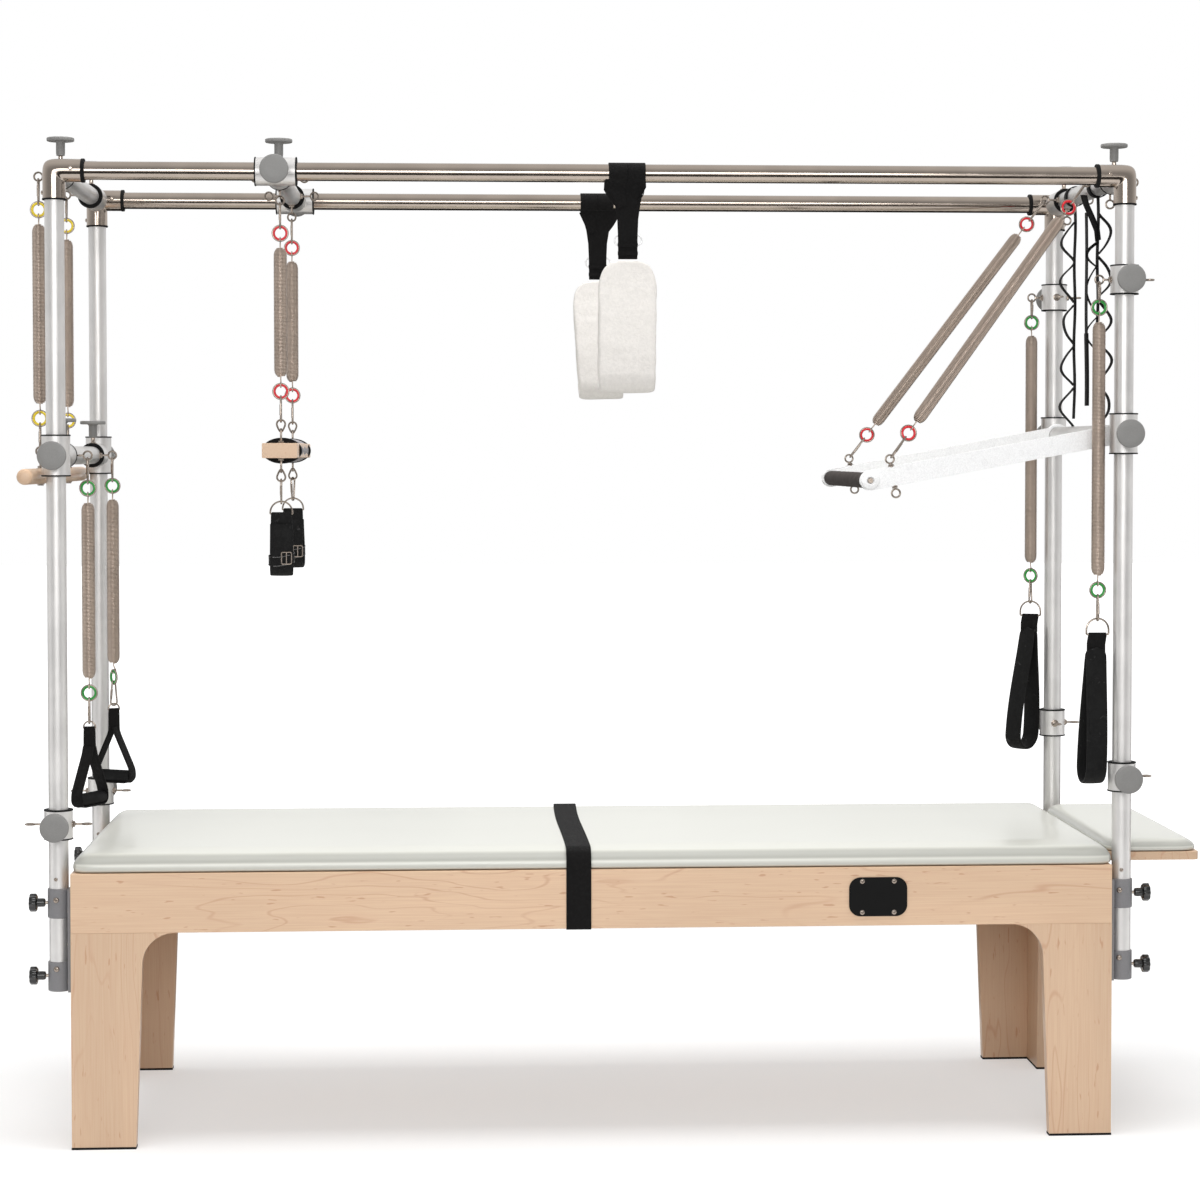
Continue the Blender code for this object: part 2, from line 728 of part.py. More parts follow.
def tie_strap():
    """The strap tied round the mat, the deck and both rails."""
    body, = shells(1)
    half_y = HALF_WIDTH + GAP
    bottom = RAIL_BOTTOM - GAP
    top = MAT_TOP + GAP
    bevel = STRAP_BEVEL * MAT_THICKNESS
    inner = [(-half_y, bottom), (half_y, bottom), (half_y, top - bevel), (half_y - bevel, top)]
    inner += [(bevel - half_y, top), (-half_y, top - bevel)]
    outer = grown(inner, STRAP_THICKNESS)
    frame = plane((LEFT * STRAP_OFFSET, 0, 0), Y_AXIS, Z_AXIS)
    band(body, frame, outer, inner, -STRAP_WIDTH / 2, STRAP_WIDTH / 2)
    sub_part("tie_strap", "table", "black_webbing", body)


def front_plate():
    """The bare metal plate on the front rail, with its four screws."""
    body, screws = shells(2)
    back = -HALF_WIDTH - GAP
    outline = rounded_rectangle(PLATE_LENGTH / 2, PLATE_HEIGHT / 2, PLATE_CORNER, 3)
    prism(body, plane((PLATE_X, back, PLATE_Z), X_AXIS, Z_AXIS), outline, 0, PLATE_THICKNESS)
    head_start = PLATE_THICKNESS / 2
    head_end = PLATE_THICKNESS + SCREW_HEAD_HEIGHT
    for x in (-1, 1):
        for z in (-1, 1):
            spot_x = PLATE_X + x * (PLATE_LENGTH / 2 - PLATE_SCREW_INSET)
            spot_z = PLATE_Z + z * (PLATE_HEIGHT / 2 - PLATE_SCREW_MARGIN)
            frame = axle((spot_x, back, spot_z), -Y_AXIS, Z_AXIS)
            rod(screws, frame, SCREW_HEAD_RADIUS, head_start, head_end, sides=PIN_SIDES)
    sub_part("front_plate", "table", "black_plate", body, joined=[screws])


def leaf():
    """The padded leaf between the right posts, on its angle bracket."""
    board, pad, bracket = shells(3)
    half_y = LEAF_WIDTH / 2
    board_top = DECK_HEIGHT + LEAF_BOARD
    block(board, (LEAF_INNER_X, -half_y, DECK_HEIGHT), (RIGHT_EXTENT, half_y, board_top))
    middle = (LEAF_INNER_X + LEAF_LENGTH / 2, 0, board_top + GAP)
    cushion(pad, middle, LEAF_LENGTH / 2, half_y, LEAF_PAD, LEAF_CROWN, LEAF_CORNER)
    inner = HALF_LENGTH + GAP
    top = DECK_HEIGHT - GAP
    outline = [(inner, top - BRACKET_DROP), (inner + BRACKET_THICKNESS, top - BRACKET_DROP)]
    outline += [(inner + BRACKET_THICKNESS, top - BRACKET_THICKNESS)]
    outline += [(inner + BRACKET_REACH, top - BRACKET_THICKNESS), (inner + BRACKET_REACH, top)]
    outline += [(inner, top)]
    frame = plane((0, 0, 0), X_AXIS, Z_AXIS)
    prism(bracket, frame, outline, -BRACKET_WIDTH / 2, BRACKET_WIDTH / 2)
    sub_part("leaf_board", "table", "maple", board)
    sub_part("leaf_pad", "table", "vinyl", pad)
    sub_part("leaf_bracket", "table", "grey_paint", bracket)


# Frame

def post(name, end, side):
    """A post between its base bracket and the corner fitting."""
    body, = shells(1)
    top = TOP_HEIGHT - ELBOW_LEG + SOCKET_DEPTH - GAP
    outer = POST_OD / 2
    tube(body, upright(end * POST_X, side * POST_Y), outer, outer - POST_WALL, POST_FOOT, top)
    sub_part(name, "table", "satin_aluminium", body)


def top_tube(name, side):
    """A top tube between two corner fittings."""
    body, = shells(1)
    reach = POST_X - ELBOW_LEG + SOCKET_DEPTH - GAP
    outer = TOP_TUBE_OD / 2
    tube(body, lengthwise(side * POST_Y, TOP_HEIGHT), outer, outer - CROSS_WALL, -reach, reach)
    sub_part(name, "table", "polished_steel", body)


def corner_fitting(name, end, side):
    """An elbow with the sleeve of the top cross bar and the sleeve's clamp knob."""
    body, sleeve, knobs, sockets = shells(4)
    corner = Vector((end * POST_X, side * POST_Y, TOP_HEIGHT))
    elbow(body, corner, end, ELBOW_LEG, BEND_RADIUS, ELBOW_OD / 2, BEND_STEPS)
    across = axle(corner, -side * Y_AXIS, Z_AXIS)
    rod(sleeve, across, SLEEVE_OD / 2, 0, SLEEVE_REACH)
    seat = SLEEVE_OD / 2 - (SLEEVE_OD - CROSS_OD) / 4
    knob(knobs, corner - side * TEE_SETBACK * Y_AXIS, Z_AXIS, seat, TEE_REACH,
         TEE_DISC_RADIUS, TEE_DISC_THICKNESS)
    rod(sockets, upright(corner.x, corner.y), POST_OD / 2 + FIT,
        TOP_HEIGHT - ELBOW_LEG - OVERLAP, TOP_HEIGHT - ELBOW_LEG + SOCKET_DEPTH)
    along = axle(corner, -end * X_AXIS, Z_AXIS)
    rod(sockets, along, TOP_TUBE_OD / 2 + FIT, ELBOW_LEG - SOCKET_DEPTH, ELBOW_LEG + OVERLAP)
    rod(sockets, across, CROSS_OD / 2 + FIT, SLEEVE_REACH - SLEEVE_SOCKET, SLEEVE_REACH + OVERLAP)
    sub_part(name, "table", "polished_steel", body, joined=[sleeve, knobs], cut=[sockets])


def cross_eyes(stems, rings, x, z, eyes):
    """Eye bolts at both eye places of a cross bar. Each has a direction, a reach and a side count."""
    start = CROSS_OD / 2 - CROSS_WALL / 2
    for y in (-EYE_Y, EYE_Y):
        for direction, reach, sides in eyes:
            eye_bolt(stems, rings, (x, y, z), direction, start, reach, Y_AXIS, sides)


def top_cross_bar(name, end, eyes):
    """A top cross bar with its eye bolts."""
    body, stems, rings = shells(3)
    reach = SLEEVE_INNER_Y + SLEEVE_SOCKET - GAP
    outer = CROSS_OD / 2
    tube(body, crosswise(end * POST_X, TOP_HEIGHT), outer, outer - CROSS_WALL, -reach, reach)
    cross_eyes(stems, rings, end * POST_X, TOP_HEIGHT, eyes)
    sub_part(name, "table", "satin_aluminium", body, joined=[stems, rings])


def base_bracket(name, end, side):
    """A bracket on the end panel: two sleeves round the post, each with its star knob."""
    body, sleeves, necks, stars, bore = shells(5)
    inner = HALF_LENGTH + GAP
    half_plate = BRACKET_PLATE_WIDTH / 2
    edges = sorted((end * inner, end * (inner + BRACKET_PLATE)))
    middle_y = side * POST_Y
    low = (edges[0], middle_y - half_plate, BRACKET_FOOT)
    block(body, low, (edges[1], middle_y + half_plate, BRACKET_TOP))
    outline = []
    for step in range(2 * STAR_LOBES):
        radius = STAR_VALLEY if step % 2 else STAR_RADIUS
        angle = math.pi * step / STAR_LOBES
        outline.append((radius * math.cos(angle), radius * math.sin(angle)))
    for drop in (LOWER_SLEEVE_DROP, UPPER_SLEEVE_DROP):
        centre = (end * POST_X, middle_y, DECK_HEIGHT - drop)
        half_height = CLAMP_SLEEVE_HEIGHT / 2
        rod(sleeves, axle(centre, Z_AXIS, X_AXIS), CLAMP_SLEEVE_OD / 2, -half_height, half_height)
        outward = axle(centre, end * X_AXIS, Z_AXIS)
        neck_start = (CLAMP_SLEEVE_OD + POST_OD) / 4 + FIT / 2
        star_start = STAR_REACH - STAR_THICKNESS
        rod(necks, outward, STAR_NECK_RADIUS, neck_start, star_start + OVERLAP, sides=PIN_SIDES)
        prism(stars, outward, outline, star_start, STAR_REACH)
    rod(bore, upright(end * POST_X, middle_y), POST_OD / 2 + FIT, BRACKET_FOOT - OVERLAP,
        BRACKET_TOP + OVERLAP)
    sub_part(name, "table", "grey_paint", body, joined=[sleeves, necks, stars], cut=[bore])


# Clamped cross bars and collars

def cross_unit(name, parent, x, z, along_posts, collar_length, collar_fit, sleeved, eyes):
    """A cross bar between two clamp collars, with its sleeves, knobs and eye bolts."""
    body, collars, knobs, stems, rings, bores = shells(6)
    frame = crosswise(x, z)
    end_y = POST_Y - COLLAR_OD / 2 + 2 * OVERLAP
    bar = CROSS_OD / 2
    sleeve = SLEEVE_OD / 2
    if sleeved:
        profile = [(sleeve, -end_y), (sleeve, -SLEEVE_INNER_Y), (bar, -SLEEVE_INNER_Y)]
        profile += [(bar, SLEEVE_INNER_Y), (sleeve, SLEEVE_INNER_Y), (sleeve, end_y)]
        turned(body, frame, profile)
    else:
        rod(body, frame, bar, -end_y, end_y)
    for side in (FRONT, REAR):
        centre = Vector((x, side * POST_Y, z))
        collar_axis = Z_AXIS if along_posts else X_AXIS
        collar = axle(centre, collar_axis, X_AXIS if along_posts else Z_AXIS)
        rod(collars, collar, COLLAR_OD / 2, -collar_length / 2, collar_length / 2)
        bore_half = collar_length / 2 + OVERLAP
        rod(bores, collar, collar_fit / 2 + FIT, -bore_half, bore_half)
        wall_middle = (COLLAR_OD + collar_fit) / 4 + FIT / 2
        knob(knobs, centre, side * Y_AXIS, wall_middle, DISC_REACH, DISC_RADIUS, DISC_THICKNESS)
        if sleeved:
            seat = Vector((x, side * TEE_Y, z))
            knob(knobs, seat, Z_AXIS, bar, TEE_REACH, TEE_DISC_RADIUS, TEE_DISC_THICKNESS)
    tools = [collars, knobs]
    if eyes:
        cross_eyes(stems, rings, x, z, eyes)
        tools += [stems, rings]
    sub_part(name, parent, "satin_aluminium", body, joined=tools, cut=[bores])


def post_collar(name, parent, end, side, height, eyes, reach):
    """A clamp collar on a post, with its disc knob and eye bolts."""
    body, knobs, stems, rings, bore = shells(5)
    centre = Vector((end * POST_X, side * POST_Y, height))
    frame = upright(*centre)
    rod(body, frame, COLLAR_OD / 2, -COLLAR_HEIGHT / 2, COLLAR_HEIGHT / 2)
    wall_middle = (COLLAR_OD + POST_OD) / 4 + FIT / 2
    knob(knobs, centre, side * Y_AXIS, wall_middle, DISC_REACH, DISC_RADIUS, DISC_THICKNESS)
    for direction, normal, sides in eyes:
        eye_bolt(stems, rings, centre, direction, wall_middle, reach, normal, sides)
    half_bore = COLLAR_HEIGHT / 2 + OVERLAP
    rod(bore, frame, POST_OD / 2 + FIT, -half_bore, half_bore)
    sub_part(name, parent, "satin_aluminium", body, joined=[knobs, stems, rings], cut=[bore])


# Springs

def coil_points(start, end, curls):
    """Route of a spring's wire: straight ends on its axis and the curls between them."""
    length = (end - start).length
    frame = axle(start, end - start, X_AXIS)
    lead = RING_TO_COIL - (SPRING_RING_OUTER + SPRING_RING_INNER) / 2
    radius = (SPRING_OD - SPRING_WIRE) / 2
    first = lead + SPRING_WIRE
    last = length - first
    points = [(0, 0, 0), (0, 0, lead)]
    steps = curls * POINTS_PER_CURL
    for step in range(steps + 1):
        angle = math.tau * step / POINTS_PER_CURL
        height = first + (last - first) * step / steps
        points.append((radius * math.cos(angle), radius * math.sin(angle), height))
    points += [(0, 0, length - lead), (0, 0, length)]
    return [frame @ Vector(point) for point in points]


def least_self_gap(points, wire):
    """Least gap of a spring's wire to itself, measured between points over half a curl apart."""
    least = math.inf
    apart = POINTS_PER_CURL // 2 + 1
    for index, point in enumerate(points):
        for other in points[index + apart:]:
            least = min(least, (point - other).length)
    return least - wire


def spring(name, parent, kind, one, other, one_hook=HOOK_TO_RING):
    """A spring between two hook points: its coil, a ring and a quick link at each end."""
    one = Vector(one)
    other = Vector(other)
    along = (other - one).normalized()
    across = (Y_AXIS - along * along.dot(Y_AXIS)).normalized()
    ring_middle = (SPRING_RING_OUTER + SPRING_RING_INNER) / 2
    centres = (one + one_hook * along, other - HOOK_TO_RING * along)
    rings, links = shells(2)
    outer = polygon(SPRING_RING_OUTER, SPRING_RING_SIDES)
    inner = polygon(SPRING_RING_INNER, SPRING_RING_SIDES)
    half = SPRING_RING_THICKNESS / 2
    for centre in centres:
        band(rings, plane(centre, along, along.cross(across)), outer, inner, -half, half)
    quick_link(links, one, centres[0] - ring_middle * along, other_tight=OVERLAP)
    quick_link(links, centres[1] + ring_middle * along, other, one_tight=OVERLAP)
    ends = (centres[0] + ring_middle * along, centres[1] - ring_middle * along)
    points = coil_points(*ends, CURLS[kind])
    print(name, "least self gap mm", round(1000 * least_self_gap(points, SPRING_WIRE), 2))
    coil = tube_mesh(points, SPRING_WIRE / 2)
    sub_part(name, parent, "spring_steel", coil, joined=[rings, links])


def hanging_spring(name, parent, kind, hook, length, one_hook=HOOK_TO_RING):
    """A spring that hangs straight down from a hook point."""
    spring(name, parent, kind, hook, Vector(hook) - length * Z_AXIS, one_hook)


# Bars and loops

def roll_down_bar():
    """The maple bar across the left end, with its two eye bolts and nuts."""
    body, stems, rings, nuts = shells(4)
    x = -POST_X - CROSS_EYE_REACH
    radius = ROLL_DOWN_OD / 2
    half = ROLL_DOWN_LENGTH / 2
    flat = half - ROLL_DOWN_END_ROUND
    tip = radius - ROLL_DOWN_END_ROUND
    profile = [(tip, -half), (radius, -flat), (radius, flat), (tip, half)]
    turned(body, crosswise(x, ROLL_DOWN_HEIGHT), profile)
    for y in (-EYE_Y, EYE_Y):
        root = (x, y, ROLL_DOWN_HEIGHT)
        eye_bolt(stems, rings, root, Z_AXIS, 0, ROLL_DOWN_EYE_RISE, Y_AXIS)
        nut_top = radius - 2 * OVERLAP
        nut = axle(root, -Z_AXIS, X_AXIS)
        rod(nuts, nut, NUT_RADIUS, nut_top, nut_top + NUT_HEIGHT, sides=PIN_SIDES)
    sub_part("roll_down_bar", "roll_down", "maple", body, joined=[stems, rings, nuts])


def trapeze_bar():
    """The trapeze bar: a board with a padded middle between two bands, and eye bolts at its ends."""
    body, pads, bands, stems, rings = shells(5)
    x = CARRIAGE_X
    half = Vector((TRAPEZE_BOARD_WIDTH / 2, TRAPEZE_LENGTH / 2, TRAPEZE_BOARD_HEIGHT / 2))
    middle = Vector((x, 0, TRAPEZE_HEIGHT))
    block(body, middle - half, middle + half)
    frame = crosswise(x, TRAPEZE_HEIGHT)
    pad_radius = TRAPEZE_PAD_WIDTH / 2
    pad_half = TRAPEZE_PAD_LENGTH / 2
    pad = [(pad_radius, -pad_half), (pad_radius, pad_half)]
    turned(pads, frame, pad, squash=TRAPEZE_PAD_HEIGHT / TRAPEZE_PAD_WIDTH)
    band_radius = TRAPEZE_BAND_WIDTH / 2
    for side in (FRONT, REAR):
        edges = sorted((side * (pad_half - OVERLAP), side * (pad_half + TRAPEZE_BAND_LENGTH)))
        ends = [(band_radius, edges[0]), (band_radius, edges[1])]
        turned(bands, frame, ends, squash=TRAPEZE_BAND_HEIGHT / TRAPEZE_BAND_WIDTH)
        for up in (Z_AXIS, -Z_AXIS):
            root = (x, side * EYE_Y, TRAPEZE_HEIGHT)
            start = TRAPEZE_BOARD_HEIGHT / 2 - OVERLAP
            eye_bolt(stems, rings, root, up, start, TRAPEZE_EYE_OFFSET, Y_AXIS)
    sub_part("trapeze_bar", "trapeze", "maple", body, joined=[pads, bands, stems, rings])


def ankle_cuff(name, parent, side):
    """A folded ankle cuff under the trapeze bar, with its D-ring and quick link."""
    body, neck, ring, link = shells(4)
    y = side * EYE_Y
    top_hook = Vector((CARRIAGE_X, y, CUFF_HOOK))
    d_hook = top_hook - CUFF_DROP * Z_AXIS
    flat = d_ring(ring, d_hook, FOOT_D_RADIUS)
    quick_link(link, top_hook, d_hook, other_tight=OVERLAP)
    half_neck = CUFF_THICKNESS / 2
    strap_top = CUFF_HOOK - CUFF_STRAP_DROP
    low = (CARRIAGE_X - FOOT_D_RADIUS, y - half_neck, strap_top - 2 * CUFF_THICKNESS)
    block(neck, low, (CARRIAGE_X + FOOT_D_RADIUS, y + half_neck, flat + OVERLAP))
    hanging_loop(body, CARRIAGE_X, y, strap_top, CUFF_LENGTH, CUFF_WIDTH, CUFF_DEPTH,
                 CUFF_THICKNESS, CUFF_STEPS)
    sub_part(name, parent, "black_webbing", body, joined=[neck, ring, link])


def hand_loop(name, parent, side):
    """A hand loop on a left spring: D-ring, webbing triangle and round grip."""
    body, neck, ring, grip = shells(4)
    x = LIFT_EYE_REACH - POST_X
    y = side * EYE_Y
    hook = Vector((x, y, HANDLE_HOOK))
    flat = d_ring(ring, hook, HANDLE_D_RADIUS)
    half_neck = HANDLE_STRAP_THICKNESS / 2
    half_width = HANDLE_NECK_WIDTH / 2
    top = HANDLE_HEIGHT + HANDLE_STRAP_TOP
    low = (x - half_width, y - half_neck, top - 3 * OVERLAP)
    block(neck, low, (x + half_width, y + half_neck, flat + OVERLAP))
    turn = Vector((math.cos(HANDLE_TURN[side]), math.sin(HANDLE_TURN[side]), 0))
    frame = plane((x, y, HANDLE_HEIGHT), turn, Z_AXIS)
    neck_half = HANDLE_PINCH * HANDLE_HALF_WIDTH
    inner = [(-HANDLE_HALF_WIDTH, 0), (HANDLE_HALF_WIDTH, 0), (HANDLE_HALF_WIDTH, HANDLE_GRIP_RADIUS)]
    inner += [(neck_half, HANDLE_STRAP_TOP - HANDLE_STRAP_THICKNESS)]
    inner += [(-neck_half, HANDLE_STRAP_TOP - HANDLE_STRAP_THICKNESS)]
    inner += [(-HANDLE_HALF_WIDTH, HANDLE_GRIP_RADIUS)]
    outer = grown(inner, HANDLE_STRAP_THICKNESS)
    half_strap = HANDLE_STRAP_WIDTH / 2
    band(body, frame, outer, inner, -half_strap, half_strap)
    grip_half = HANDLE_HALF_WIDTH + OVERLAP
    along = axle((x, y, HANDLE_HEIGHT), turn, Z_AXIS)
    rod(grip, along, HANDLE_GRIP_RADIUS, -grip_half, grip_half)
    sub_part(name, parent, "black_webbing", body, joined=[neck, ring, grip])


def foot_loop(name, parent, side):
    """A padded foot loop on a right spring."""
    body, neck, ring = shells(3)
    x = POST_X - RIGHT_COLLAR_EYE_REACH
    y = side * POST_Y
    hook = Vector((x, y, FOOT_HOOK))
    flat = d_ring(ring, hook, FOOT_D_RADIUS, FOOT_D_STRAIGHT)
    half_neck = FOOT_NECK_THICKNESS / 2
    half_width = FOOT_NECK_WIDTH / 2
    middle = x - FOOT_LOOP_SETBACK
    low = (middle - half_width, y - half_neck, FOOT_LOOP_TOP - 2 * FOOT_LOOP_THICKNESS)
    block(neck, low, (middle + half_width, y + half_neck, flat + OVERLAP))
    hanging_loop(body, middle, y, FOOT_LOOP_TOP, FOOT_LOOP_LENGTH, FOOT_LOOP_WIDTH,
                 FOOT_LOOP_DEPTH, FOOT_LOOP_THICKNESS)
    sub_part(name, parent, "black_webbing", body, joined=[neck, ring])


def fleece_loop(name, parent, side):
    """A fleece loop on its strap, wrapped round a top tube."""
    body, neck, wrap = shells(3)
    x = FLEECE_X[side]
    y = side * POST_Y
    inner = TOP_TUBE_OD / 2 + TURN_FIT
    half_wrap = FLEECE_WRAP_WIDTH / 2
    tube(wrap, lengthwise(y, TOP_HEIGHT, x), inner + WEBBING, inner, -half_wrap, half_wrap)
    half_width = FLEECE_STRAP_WIDTH / 2
    low = (x - half_width, y - WEBBING, FLEECE_TOP - FLEECE_THICKNESS / 2)
    high = (x + half_width, y + WEBBING, TOP_HEIGHT - inner - WEBBING / 3)
    block(neck, low, high)
    hanging_loop(body, x, y, FLEECE_TOP, FLEECE_LENGTH, FLEECE_WIDTH, FLEECE_DEPTH,
                 FLEECE_THICKNESS)
    sub_part(name, parent, "fleece", body, joined=[neck, wrap])


def daisy_strap(name, parent, side):
    """A daisy-chain strap under the right top cross bar, with its row of sewn loops."""
    body, loops, wrap = shells(3)
    x = POST_X
    y = DAISY_Y[side]
    inner = CROSS_OD / 2 + TURN_FIT
    half_width = DAISY_WIDTH / 2
    half_thickness = DAISY_THICKNESS / 2
    tube(wrap, crosswise(x, TOP_HEIGHT, y), inner + DAISY_THICKNESS, inner, -half_width, half_width)
    top = TOP_HEIGHT - inner - DAISY_THICKNESS / 3
    low = (x - half_thickness, y - half_width, DAISY_BOTTOM)
    block(body, low, (x + half_thickness, y + half_width, top))
    frame = plane((x, y, 0), X_AXIS, Z_AXIS)
    for number in range(DAISY_LOOPS):
        start = top - DAISY_FIRST_DROP - number * DAISY_PERIOD
        route = []
        for step in range(DAISY_STEPS + 1):
            share = step / DAISY_STEPS
            bulge = DAISY_SIDE[side] * DAISY_BULGE * math.sin(math.pi * share)
            route.append((bulge, start - DAISY_LOOP_HEIGHT * share))
        strip(loops, frame, route, DAISY_THICKNESS, -half_width + OVERLAP, half_width - OVERLAP)
    sub_part(name, parent, "black_webbing", body, joined=[loops, wrap])


def push_through_bar():
    """The push-through bar: two arms on hubs round the right cross bar, their tube and eye bolts."""
    arms, hubs, caps, stems, rings, bores = shells(6)
    body, = shells(1)
    tip = PIVOT + ARM_LENGTH * ARM_AXIS
    half_height = ARM_HEIGHT / 2
    half_thickness = ARM_THICKNESS / 2
    outline = [(0, -half_height)]
    outline += arc((ARM_LENGTH, 0), half_height, -90, 90, ARM_END_STEPS)
    outline += [(0, half_height)]
    hub_radius = HUB_OD / 2
    bore_radius = CROSS_OD / 2 + TURN_FIT
    reach = ARM_Y + OVERLAP
    rod(body, crosswise(tip.x, tip.z), PUSH_TUBE_OD / 2, -reach, reach)
    for side in (FRONT, REAR):
        y = side * ARM_Y
        frame = plane((PIVOT.x, y, PIVOT.z), ARM_AXIS, ARM_UP)
        prism(arms, frame, outline, -half_thickness, half_thickness)
        hub = crosswise(PIVOT.x, PIVOT.z, y)
        rod(hubs, hub, hub_radius, -half_thickness, half_thickness)
        rod(bores, hub, bore_radius, -ARM_THICKNESS, ARM_THICKNESS)
        cap = axle((tip.x, y, tip.z), side * Y_AXIS, Z_AXIS)
        rod(caps, cap, PUSH_CAP_RADIUS, half_thickness - OVERLAP, half_thickness + PUSH_CAP_THICKNESS)
        root = PIVOT + (ARM_LENGTH - PUSH_EYE_SETBACK) * ARM_AXIS
        root.y = y
        start = half_height - OVERLAP
        for direction in (ARM_UP, -ARM_UP):
            eye_bolt(stems, rings, root, direction, start, PUSH_EYE_OFFSET, Y_AXIS)
    sub_part("push_through_bar", "push_bar", "white_paint", body,
             joined=[arms, hubs, caps, stems, rings], cut=[bores])


def push_grip():
    """The foam grip that turns on the push-through bar's tube."""
    body, = shells(1)
    tip = PIVOT + ARM_LENGTH * ARM_AXIS
    half = ARM_Y - ARM_THICKNESS / 2 - GAP
    inner = PUSH_TUBE_OD / 2 + TURN_FIT
    tube(body, crosswise(tip.x, tip.z), GRIP_OD / 2, inner, -half, half)
    sub_part("push_grip", "push_grip_turn", "grey_foam", body)


def push_spring(name, side):
    """A spring from the right top cross bar to the push-through bar."""
    upper = Vector((POST_X - CROSS_EYE_REACH, side * EYE_Y, TOP_HEIGHT))
    lower = PIVOT + (ARM_LENGTH - PUSH_EYE_SETBACK) * ARM_AXIS + PUSH_EYE_OFFSET * ARM_UP
    lower.y = side * ARM_Y
    pull = lower - upper
    flat = Vector((pull.x, 0, pull.z)).normalized()
    spring(name, "table", "push", upper + EYE_RADIUS * flat, lower - EYE_RADIUS * flat)


